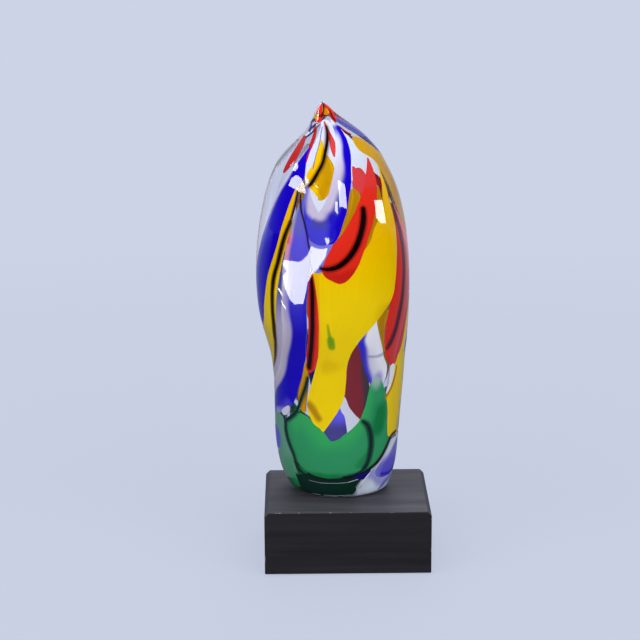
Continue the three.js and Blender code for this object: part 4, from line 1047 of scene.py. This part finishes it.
def trail_lines(trail):
    """The trail's centre line and half width by its length: arrays of length from the start (mm),
    angle, height, the direction across (deg and % per mm) and half width (mm). Both ends are
    rounded: the half width shrinks along a quarter circle."""
    glass = bpy.context.scene.glass_sizes
    p = smooth_curve(trail.points, np.linspace(0, 1, CURVE_SAMPLES))
    centre = np.stack([(p[:, 1] + p[:, 2]) / 2, p[:, 0]], -1) if trail.in_rows else p[:, :2]
    around, up = scale_at(centre[:, 0], centre[:, 1])
    scale = np.stack([around, up], -1)
    steps = np.diff(centre, axis=0) * (scale[1:] + scale[:-1]) / 2
    along = np.concatenate([[0], np.cumsum(np.hypot(steps[:, 0], steps[:, 1]))])
    if trail.in_rows:
        across = np.stack([np.ones(len(p)), np.zeros(len(p))], -1)
        half = (p[:, 2] - p[:, 1]) / 2 * around
    else:
        direction = np.gradient(centre, axis=0) * scale
        direction /= np.linalg.norm(direction, axis=1, keepdims=True)
        across = np.stack([-direction[:, 1], direction[:, 0]], -1)
        half = glass.half_width * p[:, 2] / (2 * 100)
    total = along[-1]
    half = np.maximum(half, LEAST_HALF_WIDTH)
    start_round = min(half[0], LARGEST_END_RADIUS)
    end_round = min(half[-1], LARGEST_END_RADIUS)
    count = max(LEAST_FACETS, int(round(total / bpy.context.scene.trail_sizes.step)))
    s = np.unique(np.concatenate([
        start_round * (1 - np.cos(END_FACETS)),
        np.linspace(start_round, total - end_round, count),
        total - end_round * (1 - np.cos(END_FACETS)),
    ]))
    width = np.interp(s, along, half)
    for radius, gap in ((start_round, s), (end_round, total - s)):
        width = width - fall_away(gap, radius)
    read = {
        "angle": centre[:, 0], "height": centre[:, 1],
        "turn": across[:, 0] / around, "rise": across[:, 1] / up,
    }
    lines = {name: np.interp(s, along, values) for name, values in read.items()}
    return lines | {
        "s": s, "total": total, "half": np.maximum(width, 0), "end_gap": np.minimum(s, total - s),
    }


def outline_of(lines):
    """The trail's closed outline in degrees and %, left edge up and right edge back."""
    left, right = (
        np.stack([lines["angle"] + side * lines["half"] * lines["turn"],
                  lines["height"] + side * lines["half"] * lines["rise"]], -1)
        for side in (-1, 1)
    )
    keep = np.unique(np.concatenate([np.arange(0, len(left), 2), [len(left) - 1]]))
    return np.concatenate([left[keep], right[keep][::-1]])


def line_gap(angle, height, line, closed=False):
    """The distance in mm from each point to the nearest part of a line in degrees and %."""
    line = np.asarray(line, float)
    middle = (line[:, 0].min() + line[:, 0].max()) / 2
    a = turn_from(np.ravel(angle), middle) + middle
    h = np.ravel(height)
    start = line if closed else line[:-1]
    step = (np.roll(line, -1, axis=0) - line)[:len(start)]
    p = np.stack([a, h], -1)[:, None]
    scale = np.stack(scale_at(a, h), -1)[:, None]
    w = ((p - start) * step * scale**2).sum(-1)
    w = w / np.maximum((step**2 * scale**2).sum(-1), LEAST_STEP)
    gap = (p - start - np.clip(w, 0, 1)[..., None] * step) * scale
    return np.sqrt((gap**2).sum(-1)).min(axis=1).reshape(np.shape(angle))


def depth_inside(angle, height, outline):
    """How far inside a closed outline each point lies, in mm, less than 0 outside, and one plain
    value far outside. The sign comes from counting the edges that a ray crosses."""
    middle = (outline[:, 0].min() + outline[:, 0].max()) / 2
    a = np.ravel(turn_from(angle, middle) + middle)
    h = np.ravel(height)
    result = np.full(a.shape, FAR_OUTSIDE)
    low = outline.min(axis=0) - NEAR_MARGIN
    high = outline.max(axis=0) + NEAR_MARGIN
    near = (a > low[0]) & (a < high[0]) & (h > low[1]) & (h < high[1])
    if near.any():
        distance = line_gap(a[near], h[near], outline, closed=True)
        step = np.roll(outline, -1, axis=0) - outline
        p = np.stack([a[near], h[near]], -1)[:, None]
        crosses = (outline[:, 1] > p[..., 1]) != (outline[:, 1] + step[:, 1] > p[..., 1])
        rise = np.where(step[:, 1] == 0, LEAST_STEP, step[:, 1])
        at = outline[:, 0] + (p[..., 1] - outline[:, 1]) / rise * step[:, 0]
        inside = (crosses & (p[..., 0] < at)).sum(axis=1) % 2 == 1
        result[near] = np.where(inside, distance, -distance)
    return result.reshape(np.shape(angle))


def eased(values, start, end):
    """0 before start, 1 after end, and a smooth S between."""
    t = np.clip((values - start) / (end - start), 0, 1)
    return t * t * (3 - 2 * t)


def trail_grid(lines, thickness, top, above):
    """A trail's closed section carried along it: across the top from left to right and back along
    the underside. The top's depth grows along a quarter circle in the last bit before each edge and
    end, and grows again where an upper trail covers it. With the points and normals come each
    point's angle, height and share of the way along and across, and whether it lies so far inside an
    upper trail that it is left out."""
    sizes = bpy.context.scene.trail_sizes
    widest = lines["half"].max()
    columns = max(LEAST_COLUMNS, int(round(2 * widest / sizes.step)) + EDGE_COLUMNS)
    crowded = -np.cos(np.linspace(0, np.pi, columns))
    blend = min(MOST_CROWDED, CROWDED_WIDTH / max(widest, 1.0))
    side = crowded * blend + np.linspace(-1, 1, columns) * (1 - blend)
    half = lines["half"][:, None]
    angle = lines["angle"][:, None] + side * half * lines["turn"][:, None]
    height = lines["height"][:, None] + side * half * lines["rise"][:, None]
    height = np.clip(height, 0, 100)
    edge_gap = np.minimum((1 - np.abs(side)) * half, lines["end_gap"][:, None])
    radius = min(sizes.edge, thickness / EDGES_IN_THICKNESS)
    dip = fall_away(edge_gap, radius)
    cover = np.full(angle.shape, FAR_OUTSIDE)
    for outline in above:
        cover = np.maximum(cover, depth_inside(angle, height, outline))
    dive = sizes.dive * eased(cover, sizes.cover, sizes.cover + DIVE_LENGTH)
    upper = top + dip + dive
    lower = thickness - dip * UNDER_ROUNDNESS + dive
    ends = np.array([0, -1])
    upper[ends] = lower[ends] = (upper[ends] + lower[ends]) / 2
    n = outward(angle, height)
    u = np.repeat((lines["s"] / lines["total"])[:, None], columns, axis=1)
    v = np.repeat(((side + 1) / 2)[None], len(u), axis=0)
    places = np.stack([angle, height, u, v], -1)
    buried = cover > sizes.cut
    pairs = (
        (layer(angle, height, upper), layer(angle, height, lower)),
        (n, -n), (places, places), (buried, buried),
    )
    return [np.concatenate([over, under[:, ::-1]], axis=1) for over, under in pairs]


# The body and the block

BODY_SIDES = 256
OUTSIDE_RINGS = 200
WALL_RINGS = 110
DOME_RINGS = 24

# Heights in % of the outside's first ring and of the wall's first ring above its rounded corner.
TIP_RING = 99.8
WALL_START = 7.5

# The eased edge of the foot: its height in mm, and its share of the foot's radius.
FOOT_EASE = 0.8
FOOT_EASE_SHARE = 0.03

# Where the rings lie on the way in under the foot and out over the bubble's floor, and how far up
# the vent its last ring lies.
UNDER_RINGS = (0, 0.5, 0.93, 1)
FLOOR_RINGS = (0.03, 0.4, 0.75, 0.95)
VENT_RING = 0.97

# How far the dome bulges beyond a straight cone, and how fast that fades towards its point.
DOME_BULGE = 0.55
DOME_FADE = 1.5


def body_grid():
    """The clear body as one closed loft of rings: down the outside from the tip to the foot, in
    under the foot to the vent, up the vent, out over the bubble's floor and up its wall to the
    bubble's rounded top."""
    glass = bpy.context.scene.glass_sizes
    around, directions = circle(BODY_SIDES)

    def ring(height, depth):
        """The loop around the form at a height and a depth."""
        return layer(around, 0 * around + height, 0 * around + depth)

    def apex(height):
        """The middle of the form at a height."""
        return (skin(0.0, height) + skin(180.0, height)) / 2

    fall = (1 - np.cos(np.linspace(0, np.pi / 2, OUTSIDE_RINGS))) * 100
    fall = fall[(fall > 0) & (fall < TIP_RING)]
    outside = [ring(height, glass.skin_depth) for height in TIP_RING - fall]
    foot = ring(0, glass.skin_depth)
    foot[:, 2] = glass.foot_height
    centre = foot.mean(axis=0)
    vent = centre + glass.vent * directions
    bevel = foot + (centre - foot) * FOOT_EASE_SHARE
    foot[:, 2] += FOOT_EASE
    under = [bevel + (vent - bevel) * w for w in UNDER_RINGS]
    floor_height = 100 * glass.floor / glass.height
    wall = [ring(floor_height + rise, glass.wall * (1 + more)) for rise, more in FLOOR_CORNER]
    wall += [ring(height, glass.wall) for height in np.linspace(WALL_START, glass.wall_top, WALL_RINGS)]
    wall[0][:, 2] = glass.foot_height + glass.floor
    lift = np.array([0, 0, glass.floor])
    vent_top = vent + lift
    inside = [vent + lift * VENT_RING]
    inside += [vent_top + (wall[0] - vent_top) * w for w in FLOOR_RINGS]
    point = apex(glass.bubble_top)
    dome = []
    for w in np.linspace(0, 1, DOME_RINGS)[1:]:
        dome.append(wall[-1] + (point - wall[-1]) * w)
        dome[-1][:, :2] += (wall[-1] - point)[:, :2] * DOME_BULGE * w * (1 - w) ** DOME_FADE
    tip = np.tile(apex(100.0), (len(around), 1))
    peak = np.tile(dome[-1].mean(axis=0), (len(around), 1))
    return np.stack([tip, *outside, foot, *under, *inside, *wall, *dome[:-1], peak])


def block_mesh():
    """The block: a rectangle with its two upper corners planed off, carried from front to back."""
    low, high = (np.array(corner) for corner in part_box("wooden_block"))
    planed = bpy.context.scene.block_sizes.chamfer * MM
    section = [
        (low[0], low[2]), (high[0], low[2]), (high[0], high[2] - planed),
        (high[0] - planed, high[2]), (low[0] + planed, high[2]), (low[0], high[2] - planed),
    ]
    corners = [(x, y, z) for y in (low[1], high[1]) for x, z in section]
    count = len(section)
    front = list(range(count))
    back = [count + i for i in reversed(range(count))]
    sides = [(i, i + count, (i + 1) % count + count, (i + 1) % count) for i in range(count)]
    mesh = bpy.data.meshes.new("wooden_block_finish")
    mesh.from_pydata(corners, [], [front, back, *sides])
    mesh.validate()
    return mesh


# Materials

# The shares of a trail's shade that change with its streaks, with its density and not at all.
STREAK_SHARE = 0.1
DENSITY_SHARE = 0.1
EVEN_SHARE = 0.9

# Where noise from 0 to 1 reaches its darkest and its lightest colour, and how dark and how light
# the grain of the paint is, as shares of the paint's colour.
GRAIN_STOPS = (0.3, 0.7)
PAINT_SHADES = (0.6, 1.4)

# The shares of fine and of wide grain in the paint's tone, and of plain dark paint over both.
FINE_GRAIN = 0.6
WIDE_GRAIN = 0.4
DARK_PAINT = 0.3

# The paint's chips: how far in m they reach in from the block's edges, how much likelier they are
# at the very edge, and the values of the noise between which paint turns to bare wood.
CHIP_REACH = 0.0012
CHIP_MORE = 0.35
CHIP_STOPS = (0.9, 0.93)


class Nodes:
    """A node tree under construction: short calls that add and join nodes."""

    def __init__(self, tree):
        self.tree = tree
        self.place = self.node("ShaderNodeTexCoord")

    def node(self, kind, sockets=None, **values):
        """A new node with its values set, and its input sockets fed by name or number."""
        made = self.tree.nodes.new(kind)
        for key, value in values.items():
            setattr(made, key, value)
        for key, value in (sockets or {}).items():
            self.feed(made.inputs[key], value)
        return made

    def feed(self, socket, value):
        """A socket's value, or a link to it from another node's output."""
        if isinstance(value, bpy.types.NodeSocket):
            self.tree.links.new(value, socket)
        elif socket.type == "RGBA" and len(value) == 3:
            socket.default_value = (*value, 1)
        else:
            socket.default_value = value

    def maths(self, operation, a, b=0.0, clamp=False):
        """One step of arithmetic on two values, kept from 0 to 1 where it is clamped."""
        made = self.node("ShaderNodeMath", {0: a, 1: b}, operation=operation, use_clamp=clamp)
        return made.outputs[0]

    def weighed(self, a, a_share, b, b_share):
        """The sum of two values, each times its share."""
        return self.maths(
            "ADD", self.maths("MULTIPLY", a, a_share), self.maths("MULTIPLY", b, b_share)
        )

    def between(self, value, low, high, start=(0, 1), easing="LINEAR"):
        """A value that runs over the start range, mapped to run from low to high."""
        return self.node("ShaderNodeMapRange", {
            "Value": value, "From Min": start[0], "From Max": start[1], "To Min": low, "To Max": high,
        }, interpolation_type=easing).outputs[0]

    def parts(self, vector):
        """The x, y and z of a vector."""
        return self.node("ShaderNodeSeparateXYZ", {0: vector}).outputs

    def noise(self, scale, detail=2.0, stretch=(1, 1, 1), source="Object", distortion=0.0):
        """Noise from 0 to 1 in object or UV space, stretched by a share along each axis."""
        mapping = self.node(
            "ShaderNodeMapping", {"Vector": self.place.outputs[source], "Scale": stretch}
        )
        return self.node("ShaderNodeTexNoise", {
            "Vector": mapping.outputs[0], "Scale": scale, "Detail": detail, "Distortion": distortion,
        }).outputs[0]

    def ramp(self, value, stops, tints, easing="EASE"):
        """A change from one colour to another as the value goes from one stop to the other."""
        made = self.node("ShaderNodeValToRGB", {0: value})
        made.color_ramp.interpolation = easing
        for element, stop, tint in zip(made.color_ramp.elements, stops, tints):
            element.position = stop
            element.color = (*tint, 1)
        return made.outputs[0]

    def blend(self, share, a, b, mode="MIX"):
        """Two colours mixed by a share."""
        made = self.node(
            "ShaderNodeMix", {0: share, 6: a, 7: b}, data_type="RGBA", blend_type=mode
        )
        return made.outputs[2]

    def pick(self, share, low, high):
        """Two numbers mixed by a share."""
        return self.node("ShaderNodeMix", {0: share, 2: low, 3: high}).outputs[0]


class Finish(Nodes):
    """A material under construction, with its own glossy surface."""

    def __init__(self, name, **sockets):
        self.material = bpy.data.materials.new(name)
        self.material.use_nodes = True
        super().__init__(self.material.node_tree)
        self.shader = self.tree.nodes["Principled BSDF"]
        self.surface(IOR=1.5, **sockets)

    def surface(self, **sockets):
        """The surface's own sockets, with each name's spaces written as underscores."""
        for name, value in sockets.items():
            self.feed(self.shader.inputs[name.replace("_", " ")], value)

    def bump(self, height, distance, strength=1.0):
        """Relief whose depth in m is the distance where the height goes from 0 to 1."""
        made = self.node(
            "ShaderNodeBump", {"Height": height, "Distance": distance, "Strength": strength}
        )
        self.surface(Normal=made.outputs[0])


def wobble(angle, height):
    """A slow wandering between -1 and 1: three crossing waves around and up the form."""
    return sum(np.sin(a * angle + h * height + start) for a, h, start in WAVES) / len(WAVES)


def mixed(tint, other, share):
    """One colour mixed into another, with a share for each point."""
    return tint * (1 - share[..., None]) + np.asarray(other) * share[..., None]


def across_colour(value, stops):
    """The colour at each value: the two stops around it, mixed along a smooth S."""
    places = np.array([place for place, _ in stops], float)
    tints = np.array([glass_colour(tint) for _, tint in stops])
    value = np.clip(value, 0, 1)
    i = np.clip(np.searchsorted(places, value, side="right") - 1, 0, len(stops) - 2)
    return mixed(tints[i], tints[i + 1], eased(value, places[i], places[i + 1]))


def colour_of(trail, angle, height, u, v, threads):
    """The linear colour at each point of a trail: its look's colours across it, changing from its
    start to its end, each wash mixed in by the distance from the wash's line, and darker glass
    beside each thread. Points are in degrees and %, u runs along the trail and v across it."""
    look = trail.look
    if trail.name in FROM_LINE:
        reach, line = FROM_LINE[trail.name]
        v = line_gap(angle, height, line) / reach
    v = v + look.wander * wobble(angle, height)
    tint = across_colour(v, look.start)
    if look.end:
        tint = mixed(tint, across_colour(v, look.end), eased(u, *LOOK_CHANGES))
    for wash in WASHES.get(trail.name, []):
        gap = line_gap(angle, height, wash.line)
        gap = gap + WASH_WANDER * wash.fade * wobble(angle * WASH_WAVES, height * WASH_WAVES)
        share = wash.share * (1 - eased(gap, wash.reach, wash.reach + wash.fade))
        tint = mixed(tint, glass_colour(wash.tint), share)
    for thread in threads:
        gap = -depth_inside(angle, height, thread.outline)
        share = bpy.context.scene.trail_sizes.halo_share * (1 - eased(gap, 0, thread.halo))
        tint = tint * (1 - share[..., None] * HALO_DARKENS)
    return tint


def trail_material(name):
    """Coloured glass: the colours painted on the trail, with fine streaks drawn out along it and
    small changes of density."""
    finish = Finish(name + "_glass", Roughness=0.02)
    painted = finish.node("ShaderNodeAttribute", attribute_name="Glass").outputs["Color"]
    streak = finish.noise(scale=1, detail=3.0, stretch=(2.5, 26, 1), source="UV", distortion=0.4)
    density = finish.noise(scale=45, detail=3.0)
    uneven = finish.weighed(streak, STREAK_SHARE, density, DENSITY_SHARE)
    shade = finish.maths("ADD", uneven, EVEN_SHARE)
    grey = finish.node("ShaderNodeCombineXYZ", {axis: shade for axis in "XYZ"}).outputs[0]
    finish.surface(Base_Color=finish.blend(1.0, painted, grey, "MULTIPLY"))
    return finish.material


def clear_material():
    """Clear glass with a few faint drawn-out cords of denser glass in its surface."""
    finish = Finish(
        "clear_body_glass", Base_Color=glass_colour("clear"), Transmission_Weight=1.0, Roughness=0.0
    )
    cords = finish.noise(scale=26, stretch=(1, 1, 0.25))
    finish.bump(cords, distance=0.0006, strength=0.05)
    return finish.material


def paint_material():
    """Black paint over wood: grain along X in the tone, bump and roughness, painted light from above
    that makes the faces that look up lighter, and bare chips on the edges."""
    finish = Finish("black_painted_wood", Specular_IOR_Level=0.2)
    grain = finish.noise(scale=260, detail=4.0, stretch=(0.045, 1, 1))
    wide = finish.noise(scale=40, detail=3.0, stretch=(0.12, 1, 1))
    tone = finish.weighed(grain, FINE_GRAIN, wide, WIDE_GRAIN)
    mottle = finish.maths("MULTIPLY", finish.noise(scale=30, detail=3.0), DARK_PAINT)
    # The paint, and a lighter copy of it on faces that look up, as painted light from above.
    faces = []
    for name in ("paint", "lit_top_paint"):
        shades = [tuple(c * share for c in glass_colour(name)) for share in PAINT_SHADES]
        faces.append(finish.blend(mottle, finish.ramp(tone, GRAIN_STOPS, shades), shades[0]))
    top_light_share = finish.maths("MAXIMUM", finish.parts(finish.place.outputs["Normal"])[2], 0.0)
    depths = []
    place = finish.parts(finish.place.outputs["Object"])
    for axis, (low, high) in enumerate(zip(*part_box("wooden_block"))):
        centred = finish.maths("SUBTRACT", place[axis], (low + high) / 2)
        off_centre = finish.maths("ABSOLUTE", centred)
        depths.append(finish.maths("SUBTRACT", (high - low) / 2, off_centre))
    side_edges = finish.maths("MAXIMUM", depths[0], depths[1])
    long_edges = finish.maths("MAXIMUM", depths[1], depths[2])
    nearest = finish.maths("DIVIDE", finish.maths("MINIMUM", side_edges, long_edges), CHIP_REACH)
    close = finish.maths("SUBTRACT", 1.0, nearest, clamp=True)
    flakes = finish.noise(scale=330)
    worn = finish.maths("ADD", finish.maths("MULTIPLY", close, CHIP_MORE), flakes)
    bare = finish.ramp(worn, CHIP_STOPS, ((0, 0, 0), (1, 1, 1)), "LINEAR")
    base = finish.blend(bare, finish.blend(top_light_share, *faces), glass_colour("chip"))
    finish.surface(Base_Color=base, Roughness=finish.between(tone, low=0.42, high=0.68))
    finish.bump(tone, distance=0.0004, strength=0.5)
    return finish.material


def felt_material():
    """Dark felt: short soft fibres."""
    finish = Finish("black_felt", Roughness=0.95, Sheen_Weight=0.3)
    fibre = finish.noise(scale=1800)
    tints = [linear(*tint) for tint in FELT_COLOURS]
    finish.surface(Base_Color=finish.ramp(fibre, GRAIN_STOPS, tints))
    finish.bump(fibre, distance=0.0003)
    return finish.material


def adhesive_material():
    """A clear set film with a slight haze."""
    finish = Finish("clear_adhesive", Base_Color=linear(*ADHESIVE_COLOUR), Transmission_Weight=1.0)
    finish.surface(Roughness=finish.between(finish.noise(scale=500), low=0.08, high=0.3))
    return finish.material


# Operators

# A trail that has been laid: its outline, how many trails deep it lies, and the width of the halo
# beside it, which is 0 for all but threads.
Laid = namedtuple("Laid", "outline level halo")


def level_under(laid, lines, outline):
    """How many trails deep a new one lies: one more than the deepest that it meets, or 0."""
    points = np.concatenate([outline, np.stack([lines["angle"], lines["height"]], -1)])
    met = [
        other.level for other in laid if depth_inside(points[:, 0], points[:, 1], other.outline).max() > 0
    ]
    return max(met, default=-1) + 1


def lay_trail(trail, laid):
    """Make one trail under those already laid. A thread is let into the top of what it crosses, and
    other trails dip under the trails above them and darken beside the threads."""
    sizes = bpy.context.scene.trail_sizes
    lines = trail_lines(trail)
    outline = outline_of(lines)
    if trail.slot == "black_glass":
        above, threads, level, thickness = [], [], 0, sizes.thread_thickness
        halo = sizes.halo * min(1, lines["half"].max() / sizes.full_thread)
    else:
        above = [other.outline for other in laid if not other.halo]
        threads = [other for other in laid if other.halo]
        level = level_under(laid, lines, outline)
        thickness = sizes.thickness
        halo = 0
    top = sizes.top + sizes.level * level
    points, normals, places, buried = trail_grid(lines, thickness, top, above)
    tints = colour_of(trail, *np.moveaxis(places, -1, 0), threads)
    name = trail.name + "_finish"
    mesh = mesh_from_grid(name, points, normals, places[..., 2:], tints, buried)
    replaced = [trail.name] if trail.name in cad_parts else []
    add_piece(name, mesh, replaced, trail_material(trail.name))
    laid.append(Laid(outline, level, halo))


class BuildOperator(bpy.types.Operator):
    """What the operators share"""

    bl_options = {"REGISTER", "UNDO"}


class SCULPTURE_OT_trails(BuildOperator):
    """Lay the coloured trails and the black threads, the uppermost first"""

    bl_idname = "sculpture.trails"
    bl_label = "Trails and threads"

    def execute(self, context):
        laid = []
        for trail in [*TRACES, *THREADS, *TRAILS, *GROUNDS]:
            lay_trail(trail, laid)
        return {"FINISHED"}


class SCULPTURE_OT_body(BuildOperator):
    """Blow the clear body, hollow, with its vent"""

    bl_idname = "sculpture.body"
    bl_label = "Clear body"

    def execute(self, context):
        mesh = mesh_from_grid("clear_body_finish", body_grid())
        piece = add_piece(
            "clear_body_finish", mesh, ["clear_body"], clear_material()
        )
        piece.visible_shadow = False
        return {"FINISHED"}


class SCULPTURE_OT_base(BuildOperator):
    """Make the wooden block and dress the felt and the adhesive"""

    bl_idname = "sculpture.base"
    bl_label = "Block, felt and adhesive"

    def execute(self, context):
        piece = add_piece(
            "wooden_block_finish", block_mesh(), ["wooden_block"], paint_material()
        )
        bevel = piece.modifiers.new("Eased edges", "BEVEL")
        bevel.width = context.scene.block_sizes.edge * MM
        bevel.segments = 3
        bevel.limit_method = "ANGLE"
        for node, material in (("felt_pad", felt_material()), ("adhesive_pad", adhesive_material())):
            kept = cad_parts[node]
            kept.data.materials.clear()
            kept.data.materials.append(material)
        return {"FINISHED"}


def aim(direction, lift):
    """The unit direction that lies so many degrees right of the front and above level, from the
    sines and cosines of both."""
    a = math.radians(direction)
    e = math.radians(lift)
    return np.array([math.sin(a) * math.cos(e), -math.cos(a) * math.cos(e), math.sin(e)])


def placed(right, up, back, place):
    """The matrix of an object whose own X, Y and Z point right, up and back."""
    turn = Matrix(np.stack([right, up, back], -1).tolist()).to_4x4()
    turn.translation = tuple(place)
    return turn


def hide_from(thing, *rays):
    """Keep a thing from being met by some kinds of rays."""
    for ray in rays:
        setattr(thing, "visible_" + ray, False)


class SCULPTURE_OT_stage(BuildOperator):
    """Set the paper floor, the lamps, the room light and the camera"""

    bl_idname = "sculpture.stage"
    bl_label = "Floor, lamps and camera"

    def execute(self, context):
        self.paper()
        self.room(context)
        for lamp in LAMPS:
            self.lamp(*lamp)
        for window in WINDOWS:
            self.window(*window)
        self.camera(context)
        context.scene.view_settings.view_transform = "Standard"
        return {"FINISHED"}

    def lamp(self, name, direction, lift, distance, width, height, bright):
        """A soft lamp whose width is level, seen only by the surfaces that it lights."""
        light = bpy.data.lights.new(name, "AREA")
        light.shape = "RECTANGLE"
        light.size = width
        light.size_y = height
        light.energy = bright * math.pi * width * height
        back = aim(direction, lift)
        right = np.cross((0, 0, 1), back)
        right /= np.linalg.norm(right)
        lamp = shown(name, light)
        lamp.matrix_world = placed(right, np.cross(back, right), back, LIT_POINT + back * distance)
        hide_from(lamp, "glossy", "transmission", "camera")

    def window(self, name, distance, bright, corners):
        """A flat glowing panel, seen only in reflections."""
        points = [(LIT_POINT + aim(*corner) * distance).tolist() for corner in corners]
        mesh = bpy.data.meshes.new(name)
        mesh.from_pydata(points, [], [list(range(len(points)))])
        mesh.materials.append(Finish(
            name, Base_Color=(0, 0, 0), Specular_IOR_Level=0.0, Emission_Color=WINDOW_LIGHT,
            Emission_Strength=bright,
        ).material)
        panel = shown(name, mesh)
        hide_from(panel, "camera", "diffuse", "transmission", "shadow")

    def paper(self):
        """A round sheet of lavender paper, far larger than the view. Near the sculpture it takes
        light and shadow as paper does, and further out it glows evenly for the eye and in clear
        glass, and in reflections only behind the sculpture."""
        directions = circle(PAPER_SIDES)[1]
        mesh = mesh_from_grid("paper_floor", np.array(PAPER_RINGS)[:, None, None] * directions)
        finish = Finish("lavender_paper", Roughness=0.9, Specular_IOR_Level=0.0)
        place = finish.place.outputs["Object"]
        distance = finish.node("ShaderNodeVectorMath", {0: place}, operation="LENGTH")
        near = finish.maths("SUBTRACT", 1.0, distance.outputs["Value"], clamp=True)
        share = finish.maths("MULTIPLY", near, PAPER_LIT)
        rays = finish.node("ShaderNodeLightPath").outputs
        seen = finish.maths("MAXIMUM", rays["Is Camera Ray"], rays["Is Transmission Ray"], clamp=True)
        behind = finish.maths("MULTIPLY", rays["Is Glossy Ray"], finish.parts(place)[1], clamp=True)
        rest = finish.maths("SUBTRACT", 1.0, finish.maths("MULTIPLY", share, PAPER_DIMS))
        finish.surface(
            Base_Color=finish.blend(share, (0, 0, 0), glass_colour("floor")),
            Emission_Color=glass_colour("floor"),
            Emission_Strength=finish.maths("MULTIPLY", finish.maths("MAXIMUM", seen, behind), rest),
        )
        mesh.materials.append(finish.material)
        shown("paper_floor", mesh)

    def room(self, context):
        """An even dim room for light, bright lavender where the eye or clear glass meets it, and
        for reflections dark in front and bright behind."""
        world = bpy.data.worlds.new("room")
        context.scene.world = world
        world.use_nodes = True
        room = Nodes(world.node_tree)
        back = room.tree.nodes["Background"]
        rays = room.node("ShaderNodeLightPath").outputs
        depth = room.parts(room.place.outputs["Generated"])[1]
        reflected = room.between(depth, *ROOM_REFLECTED, start=ROOM_BRIGHTENS, easing="SMOOTHSTEP")
        strength = room.pick(rays["Is Glossy Ray"], ROOM_LIGHT, reflected)
        strength = room.pick(rays["Is Transmission Ray"], strength, ROOM_THROUGH_GLASS)
        strength = room.pick(rays["Is Camera Ray"], strength, ROOM_TO_THE_EYE)
        room.feed(back.inputs["Strength"], strength)
        room.feed(back.inputs["Color"], glass_colour("floor"))

    def camera(self, context):
        """The camera at the photograph's place: it looks along its pitch and yaw, and its right and
        up are turned about that line by its roll."""
        pitch, yaw, roll = (math.radians(angle) for angle in CAMERA_TURN)
        ahead = np.array([
            math.sin(yaw) * math.cos(pitch), math.cos(yaw) * math.cos(pitch), -math.sin(pitch)
        ])
        level = np.array([math.cos(yaw), -math.sin(yaw), 0])
        upright = np.cross(level, ahead)
        right = math.cos(roll) * level + math.sin(roll) * upright
        up = math.cos(roll) * upright - math.sin(roll) * level
        data = bpy.data.cameras.new("camera")
        data.sensor_width = SENSOR_MM
        data.lens = SENSOR_MM * FOCAL_PIXELS / PICTURE_PIXELS
        data.clip_end = CAMERA_REACH
        context.scene.camera = shown("camera", data)
        context.scene.camera.matrix_world = placed(right, up, -ahead, CAMERA_PLACE)


class SCULPTURE_PT_panel(bpy.types.Panel):
    """The sculpture's pieces and sizes"""

    bl_label = "Glass sculpture"
    bl_idname = "SCULPTURE_PT_panel"
    bl_space_type = "VIEW_3D"
    bl_region_type = "UI"
    bl_category = "Sculpture"

    def draw(self, context):
        for operator in OPERATORS:
            self.layout.operator(operator.bl_idname)
        for name in GROUPS:
            group = getattr(context.scene, name)
            box = self.layout.box()
            for field in group.__annotations__:
                box.prop(group, field)


OPERATORS = (SCULPTURE_OT_trails, SCULPTURE_OT_body, SCULPTURE_OT_base, SCULPTURE_OT_stage)
GROUPS = {
    "glass_sizes": GlassSizes, "trail_sizes": TrailSizes,
    "block_sizes": BlockSizes, "glass_colours": GlassColours,
}


def register():
    """Make the groups of sizes and colours part of the scene, and the operators and panel known."""
    for name, group in GROUPS.items():
        bpy.utils.register_class(group)
        setattr(bpy.types.Scene, name, PointerProperty(type=group))
    for made in (*OPERATORS, SCULPTURE_PT_panel):
        bpy.utils.register_class(made)


def unregister():
    """Take all of that away again, the last first."""
    for made in reversed((*OPERATORS, SCULPTURE_PT_panel)):
        bpy.utils.unregister_class(made)
    for name, group in reversed(GROUPS.items()):
        delattr(bpy.types.Scene, name)
        bpy.utils.unregister_class(group)


def main():
    """Build the sculpture and its stage."""
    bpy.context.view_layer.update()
    register()
    bpy.ops.sculpture.body()
    bpy.ops.sculpture.trails()
    bpy.ops.sculpture.base()
    bpy.ops.sculpture.stage()


if __name__ == "__main__":
    main()
